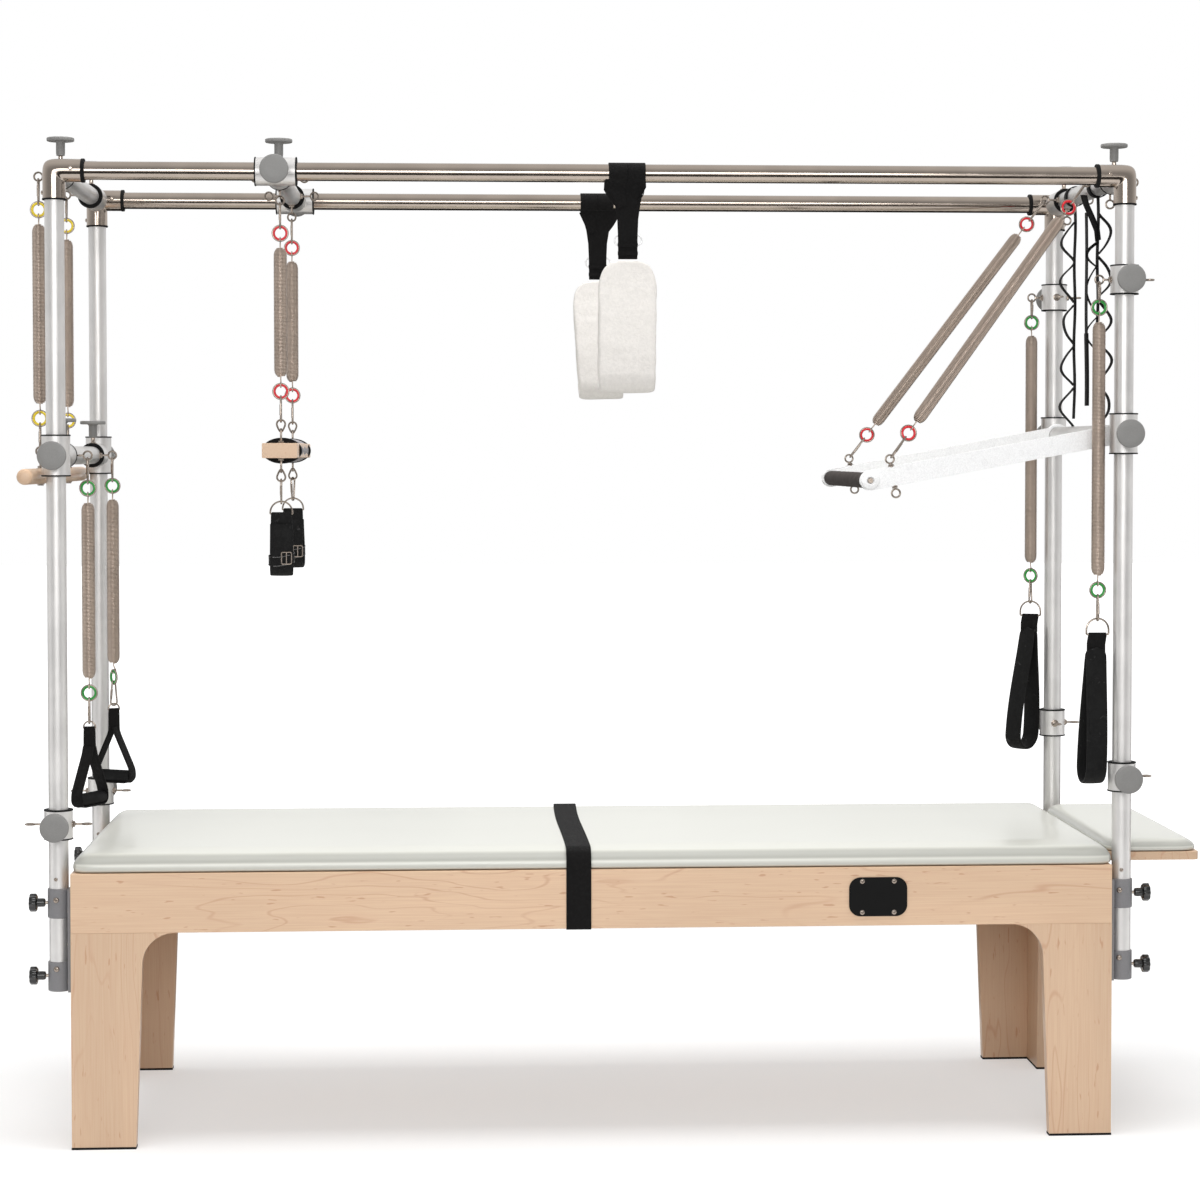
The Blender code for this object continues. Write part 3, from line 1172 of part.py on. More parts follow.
def build():
    """Clears the scene and makes every sub-part."""
    for thing in list(bpy.data.objects):
        bpy.data.objects.remove(thing)
    group("table", (0, 0, 0))
    left_eye_x = -POST_X - CROSS_EYE_REACH
    lift_eye_x = LIFT_EYE_REACH - POST_X
    foot_eye_x = POST_X - RIGHT_COLLAR_EYE_REACH
    sides = {"front": FRONT, "rear": REAR}
    ends = {"left": LEFT, "right": RIGHT}

    long_panel("front_panel", FRONT)
    long_panel("rear_panel", REAR)
    end_panel("left_end_panel", LEFT)
    end_panel("right_end_panel", RIGHT)
    deck_board()
    mat()
    tie_strap()
    front_plate()
    leaf()

    for end_name, end in ends.items():
        for side_name, side in sides.items():
            post(f"{end_name}_{side_name}_post", end, side)
            corner_fitting(f"{end_name}_{side_name}_corner", end, side)
            base_bracket(f"{end_name}_{side_name}_base_bracket", end, side)
    for side_name, side in sides.items():
        top_tube(f"{side_name}_top_tube", side)
    spring_eye = (-X_AXIS, CROSS_EYE_REACH, EYE_SIDES)
    top_cross_bar("left_top_cross_bar", LEFT, [spring_eye])
    spare_eyes = [(X_AXIS, CROSS_EYE_REACH, SPARE_EYE_SIDES)]
    spare_eyes.append((-Z_AXIS, DOWN_EYE_REACH, SPARE_EYE_SIDES))
    top_cross_bar("right_top_cross_bar", RIGHT, [spring_eye] + spare_eyes)

    group("carriage_run", (CARRIAGE_X, 0, TOP_HEIGHT), "table")
    carriage_eyes = [(-X_AXIS, CROSS_EYE_REACH, SPARE_EYE_SIDES)]
    carriage_eyes.append((X_AXIS, CROSS_EYE_REACH, SPARE_EYE_SIDES))
    carriage_eyes.append((-Z_AXIS, DOWN_EYE_REACH, EYE_SIDES))
    cross_unit("carriage", "carriage_run", CARRIAGE_X, TOP_HEIGHT, False, CARRIAGE_COLLAR_LENGTH,
               TOP_TUBE_OD, True, carriage_eyes)
    group("trapeze", (CARRIAGE_X, 0, TOP_HEIGHT - DOWN_EYE_REACH), "carriage_run")
    trapeze_bar()
    for side_name, side in sides.items():
        y = side * EYE_Y
        hanging_spring(f"trapeze_spring_{side_name}", "trapeze", "trapeze",
                       (CARRIAGE_X, y, TRAPEZE_HOOK), TRAPEZE_SPRING)
        group(f"cuff_{side_name}_swing", (CARRIAGE_X, y, CUFF_HOOK), "trapeze")
        ankle_cuff(f"ankle_cuff_{side_name}", f"cuff_{side_name}_swing", side)

    group("left_lift", (-POST_X, 0, LEFT_MID_HEIGHT), "table")
    cross_unit("left_mid_cross_bar", "left_lift", -POST_X, LEFT_MID_HEIGHT, True, MID_COLLAR_HEIGHT,
               POST_OD, True, [(X_AXIS, LIFT_EYE_REACH, EYE_SIDES)])
    for side_name, side in sides.items():
        y = side * EYE_Y
        group(f"handle_{side_name}_swing", (lift_eye_x, y, LIFT_HOOK), "left_lift")
        hanging_spring(f"handle_spring_{side_name}", f"handle_{side_name}_swing", "handle",
                       (lift_eye_x, y, LIFT_HOOK), HANDLE_SPRING)
        hand_loop(f"hand_loop_{side_name}", f"handle_{side_name}_swing", side)

    group("roll_down", (left_eye_x, 0, TOP_HEIGHT), "table")
    roll_down_bar()
    for side_name, side in sides.items():
        hanging_spring(f"roll_down_spring_{side_name}", "roll_down", "roll_down",
                       (left_eye_x, side * EYE_Y, ROLL_DOWN_HOOK), ROLL_DOWN_SPRING)

    for side_name, side in sides.items():
        height = DECK_HEIGHT + LOWER_LEFT_RISE[side]
        group(f"lower_left_{side_name}_run", (-POST_X, side * POST_Y, height), "table")
        eyes = [(X_AXIS, Z_AXIS, SPARE_EYE_SIDES), (-X_AXIS, Z_AXIS, SPARE_EYE_SIDES)]
        post_collar(f"lower_left_collar_{side_name}", f"lower_left_{side_name}_run", LEFT, side, height,
                    eyes, LEFT_COLLAR_EYE_REACH)

    for side_name, side in sides.items():
        run = f"upper_right_{side_name}_run"
        group(run, (POST_X, side * POST_Y, UPPER_RIGHT_HEIGHT), "table")
        outer_eye = (X_AXIS, Z_AXIS, SPARE_EYE_SIDES)
        inner_eyes = [(-Y_AXIS, Z_AXIS, SPARE_EYE_SIDES)] if side == REAR else []
        eyes = [(-X_AXIS, Y_AXIS, EYE_SIDES), outer_eye] + inner_eyes
        post_collar(f"upper_right_collar_{side_name}", run, RIGHT, side, UPPER_RIGHT_HEIGHT,
                    eyes, RIGHT_COLLAR_EYE_REACH)
        hook = (foot_eye_x, side * POST_Y, FOOT_TOP_HOOK)
        group(f"foot_{side_name}_swing", hook, run)
        hanging_spring(f"foot_spring_{side_name}", f"foot_{side_name}_swing", "foot", hook,
                       FOOT_SPRING, UPPER_HOOK_TO_RING)
        foot_loop(f"foot_loop_{side_name}", f"foot_{side_name}_swing", side)
        height = DECK_HEIGHT + LOWER_RIGHT_RISE[side]
        group(f"lower_right_{side_name}_run", (POST_X, side * POST_Y, height), "table")
        post_collar(f"lower_right_collar_{side_name}", f"lower_right_{side_name}_run", RIGHT, side,
                    height, [outer_eye] + inner_eyes, RIGHT_COLLAR_EYE_REACH)

    cross_unit("right_mid_cross_bar", "table", POST_X, RIGHT_MID_HEIGHT, True, MID_COLLAR_HEIGHT,
               POST_OD, False, [])
    group("push_bar", PIVOT, "table")
    push_through_bar()
    group("push_grip_turn", PIVOT + ARM_LENGTH * ARM_AXIS, "push_bar")
    push_grip()
    for side_name, side in sides.items():
        push_spring(f"push_spring_{side_name}", side)

    for side_name, side in sides.items():
        group(f"fleece_{side_name}_swing", (FLEECE_X[side], side * POST_Y, TOP_HEIGHT), "table")
        fleece_loop(f"fleece_loop_{side_name}", f"fleece_{side_name}_swing", side)
        group(f"daisy_{side_name}_swing", (POST_X, DAISY_Y[side], TOP_HEIGHT), "table")
        daisy_strap(f"daisy_strap_{side_name}", f"daisy_{side_name}_swing", side)
    bpy.context.view_layer.update()


build()
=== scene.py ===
"""Dresses a pilates trapeze table: wood, mat, steel frame, springs, bars and loops.

Metres, +Z up. Shapes are written in the table's own frame, whose X is zero at the middle of the
table and whose -Y is the front. Each piece is moved by TABLE_X when it is made.
"""
import math

import bmesh
import bpy
from mathutils import Matrix, Vector, noise


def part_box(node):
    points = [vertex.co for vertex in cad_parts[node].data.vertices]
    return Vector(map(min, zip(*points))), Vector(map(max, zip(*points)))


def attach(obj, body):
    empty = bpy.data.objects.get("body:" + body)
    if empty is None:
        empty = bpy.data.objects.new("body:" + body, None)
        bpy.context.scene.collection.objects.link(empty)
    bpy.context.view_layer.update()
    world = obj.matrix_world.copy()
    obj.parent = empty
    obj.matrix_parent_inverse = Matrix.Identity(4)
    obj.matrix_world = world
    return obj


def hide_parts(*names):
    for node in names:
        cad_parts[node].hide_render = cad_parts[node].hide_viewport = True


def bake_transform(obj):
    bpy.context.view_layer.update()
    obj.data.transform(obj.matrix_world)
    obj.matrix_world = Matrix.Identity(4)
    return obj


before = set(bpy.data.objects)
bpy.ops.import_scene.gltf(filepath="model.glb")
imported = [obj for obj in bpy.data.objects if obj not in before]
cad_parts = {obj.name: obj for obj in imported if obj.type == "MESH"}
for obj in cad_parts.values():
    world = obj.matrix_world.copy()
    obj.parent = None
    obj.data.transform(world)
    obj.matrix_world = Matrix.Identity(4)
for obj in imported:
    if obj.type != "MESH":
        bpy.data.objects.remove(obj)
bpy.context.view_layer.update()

bl_info = {
    "name": "Pilates trapeze table",
    "version": (1, 0, 0),
    "blender": (4, 5, 0),
    "location": "3D View > Sidebar > Trapeze table",
    "description": "Builds the visible pieces of a pilates trapeze table on its packed frame",
    "category": "Object",
}

X_AXIS = Vector((1, 0, 0))
Y_AXIS = Vector((0, 1, 0))
Z_AXIS = Vector((0, 0, 1))
FRONT, REAR, LEFT, RIGHT = -1, 1, -1, 1
SIDES = {"front": FRONT, "rear": REAR}
ENDS = {"left": LEFT, "right": RIGHT}
CORNERS = [(f"{end_name}_{side_name}", end, side)
           for end_name, end in ENDS.items() for side_name, side in SIDES.items()]
ROUND = 48
SMALL_ROUND = 20
WIRE_ROUND = 10

# Table
PANEL_LOW, PANEL_HIGH = (Vector(corner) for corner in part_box("front_panel"))
TABLE_X = (PANEL_LOW.x + PANEL_HIGH.x) / 2
HALF_LENGTH = (PANEL_HIGH.x - PANEL_LOW.x) / 2
HALF_WIDTH = -PANEL_LOW.y
BOARD = PANEL_HIGH.y - PANEL_LOW.y
DECK_HEIGHT = PANEL_HIGH.z
RAIL_BOTTOM = DECK_HEIGHT - 0.125
LEG_WIDTH = 0.133
END_LEG_WIDTH = 0.114
LEG_TAPER = 0.015
ARCH_RADIUS = 0.068
FOOT_STRIP_HEIGHT = 0.0048
FOOT_STRIP_PROUD = 0.0007
SEAM = 0.0003

# Mat, strap, plate and leaf. A pad's side is inset and height as a share of its thickness
MAT_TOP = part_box("mat")[1][2]
MAT_THICKNESS = 0.0395
PAD_SIDE = ((0.006, 0.0), (0.0015, 0.06), (0.0, 0.18), (0.0, 0.34), (0.0015, 0.48), (0.0050, 0.61),
            (0.0100, 0.73), (0.0155, 0.84), (0.0205, 0.92), (0.0245, 0.965), (0.0285, 1.0))
SWELL_PRESSURE, SWELL_FRAMES = 4.0, 20
STRAP_X = -0.038
STRAP_WIDTH = 0.053
PLATE_PLACE = (0.5974, 0.517)
PLATE_SIZE = (0.124, 0.083)
PLATE_CORNER = 0.024
PLATE_SCREWS = (0.034, 0.033)
LEAF_X = (1.103, 1.305)
LEAF_HALF_WIDTH = 0.325
LEAF_BOARD = 0.018
LEAF_PAD = 0.026
LEAF_CORNER = 0.012
LEAF_ANGLE_HALF, LEAF_ANGLE_DEPTH, LEAF_ANGLE_REACH, LEAF_ANGLE_THICKNESS = 0.220, 0.080, 0.065, 0.005
LEAF_SCREWS = (-0.17, -0.06, 0.06, 0.17)

# Frame
POST_X, POST_Y = 1.1285, 0.350
POST_RADIUS = 0.0203
POST_FOOT, POST_SCREW_HEIGHT = 0.335, 0.566
TUBE_WALL, TUBE_END = 0.002, 0.032
TOP_HEIGHT = 2.046
TUBE_RADIUS = 0.01925
CROSS_RADIUS, TOP_BAR_HALF = 0.020, 0.310
ELBOW_RADIUS = 0.024
ELBOW_LEG = 0.060
ELBOW_SQUARENESS = 5.0
SLEEVE_RADIUS = 0.027
SLEEVE_INNER_Y = 0.230
SLEEVE_RING_WIDTH = 0.0060
TEE_Y = 0.250
TEE_REACH = 0.079
EYE_Y = 0.215
CLAMP_SLEEVE_RADIUS = 0.0235
CLAMP_SLEEVE_HALF = 0.031
CLAMP_SLEEVES = (0.361, 0.515)
BASE_PLATE_THICKNESS, BASE_PLATE_HALF, BASE_PLATE_LOW, BASE_PLATE_HIGH = 0.007, 0.030, 0.330, 0.546
BASE_PLATE_SCREWS = (0.352, 0.430, 0.500)
STAR_REACH, STAR_RADIUS, STAR_LOBE = 0.0615, 0.0178, 0.0013
COLLAR_RADIUS = 0.0295
COLLAR_HALF = 0.031
MID_COLLAR_HALF = 0.043
DISC_RADIUS, DISC_THICKNESS, DISC_REACH = 0.030, 0.011, 0.070
TEE_RADIUS, TEE_THICKNESS = 0.029, 0.008
NECK_RADIUS = 0.0095
LEFT_MID, RIGHT_MID, UPPER_RIGHT = 1.4528, 1.4985, 1.826
LOWER_LEFT = {FRONT: 0.680, REAR: 0.666}
LOWER_RIGHT = {FRONT: 0.765, REAR: 0.8135}
CARRIAGE_X = -0.669

# Eye bolts, hooks and springs
EYE_RADIUS, CROSS_EYE_START = 0.009, 0.0195
WIRE = 0.0021
CROSS_EYE_REACH, DOWN_EYE_REACH, LIFT_EYE_REACH = 0.052, 0.048, 0.048
LEFT_COLLAR_EYE_REACH, RIGHT_COLLAR_EYE_REACH = 0.0592, 0.054
SPRING_TURN_POINTS = 12
SPRING_RING_RADIUS = 0.01425
STEEL_RING, COLOUR_RING = (0.0166, 0.0019), (0.0136, 0.0028)
SPRING_DROPS = {"roll_down": 0.566, "trapeze": 0.460, "handle": 0.5608, "foot": 0.7135}
HOOK_TO_RING, UPPER_HOOK_TO_RING, RING_TO_COIL = 0.061, 0.050, 0.032

# Bars and loops
ROLL_DOWN_HEIGHT, ROLL_DOWN_HALF, ROLL_DOWN_RADIUS = 1.409, 0.445, 0.0165
TRAPEZE_HEIGHT = 1.463
TRAPEZE_HALF = (0.0375, 0.270, 0.0160)
TRAPEZE_EYE_OFFSET = 0.057
PADDING_RADIUS, PADDING_HALF, PADDING_SQUASH = 0.0390, 0.170, 0.052 / 0.078
BAND_SQUASH = 0.056 / 0.086
PUSH_GRIP_RADIUS = 0.0170
CUFF_HOOK, CUFF_LENGTH, CUFF_DEPTH, CUFF_WIDTH = 1.397, 0.108, 0.036, 0.049
CUFF_RING = (0.0238, 0.0027)
HANDLE_HOOK, HANDLE_HEIGHT = 0.8830, 0.716
HANDLE_TURN = {FRONT: math.radians(62), REAR: math.radians(-25)}
HANDLE_RING, HANDLE_HALF, HANDLE_NECK = (0.0125, 0.002), 0.0480, 0.0045
FOOT_HOOK, FOOT_LOOP_TOP = 1.1035, 1.032
FOOT_RING, FOOT_LOOP_LENGTH, FOOT_LOOP_DEPTH, FOOT_LOOP_WIDTH = (0.0240, 0.010), 0.290, 0.068, 0.0455
FLEECE_X = {FRONT: 0.068, REAR: 0.040}
FLEECE_TOP, FLEECE_LENGTH, FLEECE_DEPTH, FLEECE_NECK = 1.872, 0.288, 0.063, 0.009
TUFT_SIZES = (34.0, 150.0, 330.0)
DAISY_Y, DAISY_LENGTH, DAISY_HALF = {FRONT: -0.100, REAR: 0.130}, 0.510, 0.0122
DAISY_LOOPS, DAISY_PITCH, DAISY_LOOP_LENGTH, DAISY_BULGE = 5, 0.095, 0.090, 0.0290
WRAP_GAP, WRAP_THICKNESS = 0.0011, 0.0022
ARM_LENGTH, ARM_Y, ARM_THICKNESS, ARM_HALF = 0.549, 0.311, 0.016, 0.021
ARM_EYE_INSET, ARM_EYE_REACH = 0.051, 0.037
HUB_RADIUS, HUB_BORE = 0.027, 0.0204
ARM_DROOP = math.radians(10.5)
ARM_AXIS = Vector((-math.cos(ARM_DROOP), 0, -math.sin(ARM_DROOP)))
ARM_UP = Vector((-math.sin(ARM_DROOP), 0, math.cos(ARM_DROOP)))
PIVOT = Vector((POST_X, 0, RIGHT_MID))

# Stage. The camera's values are in pixels of the photo, metres and radians
WHITE = (1.0, 1.0, 1.0, 1.0)
FLOOR_GLOW = (2.0, 5.0, 0.42, 1.0)
DARK_CARDS = ((9, -10, -2.7), (9, 0.9, 16))
ROOM_RISE, ROOM_REACH, ROOM_BACK = 0.9, 0.75, 0.88
PHOTO_SIZE, PHOTO_CENTRE, FOCAL_LENGTH = 1200, (617.63, 546.66), 2795.94
CAMERA_PLACE = (-0.2955, -6.2511, 1.4595)
CAMERA_TURN = (0.0579, -0.0338, -0.0004)

# Maple is darker on the end rails and legs
MAPLE_DEPTH = {"X": 1.0, "Y": 0.84, "Z": 0.91}
FINISH = {}


# Sizes and colours that a user may change

def length(name, description, default, low=0.0, high=0.1):
    """A length property in metres."""
    return bpy.props.FloatProperty(name=name, description=description, default=default, min=low,
                                   max=high, subtype="DISTANCE", unit="LENGTH", precision=4)


def colour(name, description, default):
    """A colour property, given as 0 to 255 in display values."""
    linear = tuple((level / 255 / 12.92) if level < 11 else ((level / 255 + 0.055) / 1.055) ** 2.4
                   for level in default)
    return bpy.props.FloatVectorProperty(name=name, description=description, default=linear,
                                         min=0.0, max=1.0, size=3, subtype="COLOR")


class TrapezeTableSizes(bpy.types.PropertyGroup):
    """Sizes of details that don't change where the pieces sit"""
    edge_round: length("Wood edge", "Rounding of the wooden edges", 0.0012, 0.0, 0.004)
    mat_swell: length("Mat swell", "How far the mat's cover swells from its foam", 0.0045, 0.0, 0.008)
    leaf_swell: length("Leaf pad swell", "How far the leaf's cover swells", 0.0040, 0.0, 0.008)
    strap_bow: length("Strap bow", "How far the mat's strap bows sideways", 0.004, 0.0, 0.01)
    spring_wire: length("Spring wire", "Diameter of the spring wire", 0.0029, 0.002, 0.004)
    spring_outside: length("Spring coil", "Outside diameter of the coils", 0.029, 0.02, 0.03)
    knob_edge: length("Knob edge", "Rounding of the clamp knobs", 0.0022, 0.0005, 0.003)
    fleece_pile: length("Fleece pile", "Depth of the fleece's tufts", 0.0016, 0.0, 0.003)
    webbing_weave: length("Webbing weave", "Spacing of the threads in the webbing", 0.0016, 0.0005, 0.004)


class TrapezeTableColours(bpy.types.PropertyGroup):
    """Colours of the finishes"""
    maple: colour("Maple", "Clear-lacquered maple", (230, 198, 166))
    maple_figure: colour("Maple figure", "Growth lines and flecks in the maple", (196, 144, 112))
    vinyl: colour("Vinyl", "Cover of the mat and the leaf", (214, 214, 205))
    webbing: colour("Webbing", "Straps and hand loops", (15, 14, 14))
    cuff: colour("Cuff", "Padded ankle cuffs and foot loops", (10, 10, 10))
    cuff_edge: colour("Cuff edge", "Stitching and worn edges of the cuffs", (104, 103, 103))
    # The steel colour is partly the steel's own tone and partly a painted reflection of a warm room
    steel: colour("Polished steel", "Top tubes, corners and bright hardware", (176, 164, 153))
    aluminium: colour("Satin aluminium", "Posts, collars and cross bars", (221, 219, 217))
    knob_grey: colour("Knob grey", "Clamp knobs", (134, 133, 131))
    bracket_grey: colour("Bracket grey", "Painted base brackets", (130, 129, 131))
    spring: colour("Spring wire", "Nickel-plated spring wire", (196, 180, 167))
    white_paint: colour("White paint", "Arms of the push-through bar", (247, 247, 247))
    foam: colour("Foam grip", "Grip of the push-through bar", (68, 63, 61))
    pad_grey: colour("Grey padding", "Padding of the trapeze bar", (150, 147, 149))
    fleece: colour("Fleece", "Fleece loops", (230, 226, 221))
    black: colour("Black plastic", "End rings, star knobs, plate and foot strips", (15, 15, 15))
    yellow: colour("Yellow sleeve", "Rings of the roll-down springs", (240, 212, 30))
    red: colour("Red sleeve", "Rings of the trapeze and push-through springs", (214, 24, 40))
    green: colour("Green sleeve", "Rings of the hand and foot loop springs", (34, 146, 54))


class TrapezeTableStudio(bpy.types.PropertyGroup):
    """Floor, background and lamps"""
    floor: colour("Floor", "Colour of the floor", (206, 206, 206))
    room: bpy.props.FloatProperty(name="Room", description="Brightness of the room in front of the "
                                  "table, in reflections", default=0.40, min=0.0, max=1.0)
    fill: bpy.props.FloatProperty(name="Fill light", description="Even light from all round",
                                  default=0.50, min=0.0, max=2.0)
    front_lamp: bpy.props.FloatProperty(name="Front lamp", description="Soft lamp over the camera",
                                        default=180.0, min=0.0, max=2000.0, unit="POWER")
    top_lamp: bpy.props.FloatProperty(name="Top lamp", description="Soft lamp over the table",
                                      default=250.0, min=0.0, max=2000.0, unit="POWER")


# Frames of reference and outlines

def axle(origin, direction, start):
    """Frame whose z runs along direction and whose x points to start."""
    z = Vector(direction).normalized()
    x = (Vector(start) - z * z.dot(Vector(start))).normalized()
    return Matrix.Translation(Vector(origin)) @ Matrix((x, z.cross(x), z)).transposed().to_4x4()


def plane(origin, right, up):
    """Frame whose x runs along right and whose y runs along up."""
    x = Vector(right).normalized()
    y = (Vector(up) - x * x.dot(Vector(up))).normalized()
    return Matrix.Translation(Vector(origin)) @ Matrix((x, y, x.cross(y))).transposed().to_4x4()


def seat(origin, direction):
    """Frame whose z runs along direction, with its x along the table or upright."""
    return axle(origin, direction, X_AXIS if abs(Vector(direction).x) < 0.5 else Z_AXIS)


def heading(turn):
    """The level direction at an angle from X."""
    return Vector((math.cos(turn), math.sin(turn), 0))


def laid(place, outline):
    """An outline's points in a frame's xy plane."""
    return [place @ Vector((*point, 0)) for point in outline]


def turns(steps):
    """Even angles round a full turn."""
    return [math.tau * step / steps for step in range(steps)]


def shares(steps):
    """Even shares from 0 to 1."""
    return [step / steps for step in range(steps + 1)]


def arc(centre, radius, first, last, steps):
    """Points on an arc, by its angles in degrees."""
    return [(centre[0] + radius * math.cos(angle), centre[1] + radius * math.sin(angle))
            for angle in (math.radians(first + (last - first) * share) for share in shares(steps))]


def rounded_rectangle(half_x, half_y, radius, steps=6):
    """An anticlockwise rectangle with rounded corners."""
    outline = []
    for quarter, (x, y) in enumerate(((1, 1), (-1, 1), (-1, -1), (1, -1))):
        centre = (x * (half_x - radius), y * (half_y - radius))
        outline += arc(centre, radius, 90 * quarter, 90 * quarter + 90, steps)
    return outline


def round_section(radius, sides=WIRE_ROUND):
    """Section of a round wire."""
    return arc((0, 0), radius, 0, 360 - 360 / sides, sides - 1)


def strap_section(width, thickness, crown=0.0):
    """Section of a strap, widest along its first number, with round edges and crowned faces."""
    half = width / 2
    edge = min(thickness / 2, half)
    section = []
    for over in (1, -1):
        section += arc((over * (half - edge), 0), edge, -90 * over, 180 - 90 * over, 3)
        for share in (0.5, 0.0, -0.5):
            place = over * share * (half - edge)
            section.append((place, over * (edge + crown * (1 - (place / half) ** 2))))
    return section


def eased(points, radius, closed=False, steps=6):
    """The points with rounded corners. radius is one number or one for each point."""
    points = [Vector(point) for point in points]
    count = len(points)
    route = []
    for index, point in enumerate(points):
        size = radius[index] if isinstance(radius, (list, tuple)) else radius
        if (not closed and index in (0, count - 1)) or size <= 0:
            route.append(point)
            continue
        one = points[index - 1] - point
        two = points[(index + 1) % count] - point
        reach = min(size, 0.48 * one.length, 0.48 * two.length)
        route += [point + one.normalized() * reach * (1 - share) ** 2 + two.normalized() * reach * share ** 2
                  for share in shares(steps)]
    return route


def smooth_step(low, high, value):
    """0 below low, 1 above high and a smooth rise between them."""
    share = min(max((value - low) / (high - low), 0.0), 1.0)
    return share * share * (3 - 2 * share)


# Forms

class Form:
    """A mesh in the making, in the table's frame. Its lay runs along, across and through a piece."""

    def __init__(self):
        self.mesh = bmesh.new()
        self.lay = self.mesh.verts.layers.float_vector.new("lay")

    def vert(self, place, lay=(0, 0, 0)):
        """One corner."""
        corner = self.mesh.verts.new(place)
        corner[self.lay] = Vector(lay)
        return corner

    def skin(self, rows, closed=False, caps=True):
        """Skins rows of corners, each of which closes on itself."""
        pairs = list(zip(rows, rows[1:]))
        if closed:
            pairs.append((rows[-1], rows[0]))
        elif caps:
            self.mesh.faces.new(rows[0])
            self.mesh.faces.new(rows[-1])
        for lower, upper in pairs:
            for index in range(len(lower)):
                after = (index + 1) % len(lower)
                self.mesh.faces.new((lower[index], lower[after], upper[after], upper[index]))

    def lathe(self, place, profile, sides=ROUND, closed=False, squash=1.0):
        """Turns (radius, height) points about the place's z."""
        rows = []
        for radius, height in profile:
            row = []
            for angle in turns(sides):
                spot = Vector((squash * radius * math.cos(angle), radius * math.sin(angle), height))
                row.append(self.vert(place @ spot, (height, angle * radius, radius)))
            rows.append(row)
        self.skin(rows, closed)

    def rod(self, place, radius, low, high, edge=0.0005, sides=ROUND):
        """A round bar with softened ends."""
        edge = min(edge, radius / 2, (high - low) / 3)
        profile = [(radius - edge, low), (radius - edge * 0.3, low + edge * 0.3), (radius, low + edge)]
        profile += [(radius, high - edge), (radius - edge * 0.3, high - edge * 0.3)]
        self.lathe(place, profile + [(radius - edge, high)], sides)

    def collar(self, place, radius, inner, low, high, edge=0.0006, sides=ROUND):
        """A ring or tube, open through its middle."""
        profile = [(inner, low), (radius - edge, low), (radius, low + edge), (radius, high - edge)]
        self.lathe(place, profile + [(radius - edge, high), (inner, high)], sides, closed=True)

    def prism(self, place, outline, low, high):
        """An outline in the place's xy plane, extruded along its z."""
        self.skin([[self.vert(place @ Vector((*point, level))) for point in outline]
                   for level in (low, high)])

    def block(self, low, high):
        """A box between two corners."""
        outline = [(low[0], low[1]), (high[0], low[1]), (high[0], high[1]), (low[0], high[1])]
        self.prism(Matrix.Identity(4), outline, low[2], high[2])

    def sweep(self, route, section, side, closed=False, caps=True):
        """Carries a section along a route. The section is fixed or given by the point's index."""
        count = len(route)
        rows = []
        travelled = 0.0
        for index, place in enumerate(route):
            before = route[index - 1] if closed or index else place
            after = route[(index + 1) % count] if closed or index < count - 1 else place
            ahead = (after - before).normalized()
            across = (side - ahead * ahead.dot(side)).normalized()
            over = ahead.cross(across)
            if index:
                travelled += (place - route[index - 1]).length
            row = []
            for one, two in section(index) if callable(section) else section:
                row.append(self.vert(place + one * across + two * over, (travelled, one, two)))
            rows.append(row)
        self.skin(rows, closed, caps)

    def wire(self, route, radius, side, closed=False, sides=WIRE_ROUND):
        """A round wire along a route."""
        self.sweep(route, round_section(radius, sides), side, closed)

    def torus(self, centre, radius, wire, normal):
        """A round ring."""
        place = axle(centre, normal, normal.orthogonal())
        self.wire(laid(place, round_section(radius, 32)), wire, normal, closed=True)

    def elbow(self, corner, out, radius, leg):
        """A mitred pipe elbow whose legs run down and inward from its corner."""
        inside = radius + 0.0015
        outward = out * X_AXIS
        pivot = corner - inside * (outward + Z_AXIS)
        bends = [(outward, -(leg - radius) * Z_AXIS)]
        for angle in (math.pi / 2 * share for share in shares(20)):
            cosine, sine = math.cos(angle), math.sin(angle)
            reach = (cosine ** ELBOW_SQUARENESS + sine ** ELBOW_SQUARENESS) ** (-1 / ELBOW_SQUARENESS)
            bends.append((reach * (cosine * outward + sine * Z_AXIS), Vector()))
        bends.append((Z_AXIS, -(leg - radius) * outward))
        self.skin([[self.vert(pivot + shift + (inside + one) * away + two * Y_AXIS)
                    for one, two in round_section(radius, ROUND)] for away, shift in bends])

    def screw(self, origin, direction, radius, height):
        """A button-head screw with a hexagon socket."""
        place = seat(origin, direction)
        profile = [(radius, -0.001), (radius, height * 0.35), (radius * 0.86, height * 0.75)]
        profile += [(radius * 0.6, height), (radius * 0.42, height), (radius * 0.38, height * 0.3)]
        self.lathe(place, profile, SMALL_ROUND)


def piece(name, form, body, finish, replaces=None, bevel=0.0, angle=35.0, subdivide=0):
    """Makes the form a piece that rides on a body, in its finish."""
    shell = form.mesh
    bmesh.ops.recalc_face_normals(shell, faces=shell.faces)
    bmesh.ops.translate(shell, verts=shell.verts, vec=(TABLE_X, 0, 0))
    mesh = bpy.data.meshes.new(name)
    shell.to_mesh(mesh)
    shell.free()
    mesh.shade_smooth()
    mesh.set_sharp_from_angle(angle=math.radians(angle))
    thing = bpy.data.objects.new(name, mesh)
    bpy.context.scene.collection.objects.link(thing)
    mesh.materials.append(FINISH[finish])
    if bevel:
        edge = thing.modifiers.new("soft edges", "BEVEL")
        edge.width = bevel
        edge.segments = 3
        edge.limit_method = "ANGLE"
        edge.angle_limit = math.radians(40)
        edge.harden_normals = True
    if subdivide:
        finer = thing.modifiers.new("finer", "SUBSURF")
        finer.levels = subdivide
        finer.render_levels = subdivide
    if body:
        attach(thing, body)
    if replaces:
        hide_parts(replaces)
    return thing


def dress(node, finish):
    """Gives a CAD node a finish."""
    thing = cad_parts[node]
    for number in range(len(thing.material_slots)):
        thing.material_slots[number].link = "OBJECT"
        thing.material_slots[number].material = FINISH[finish]


# Finishes

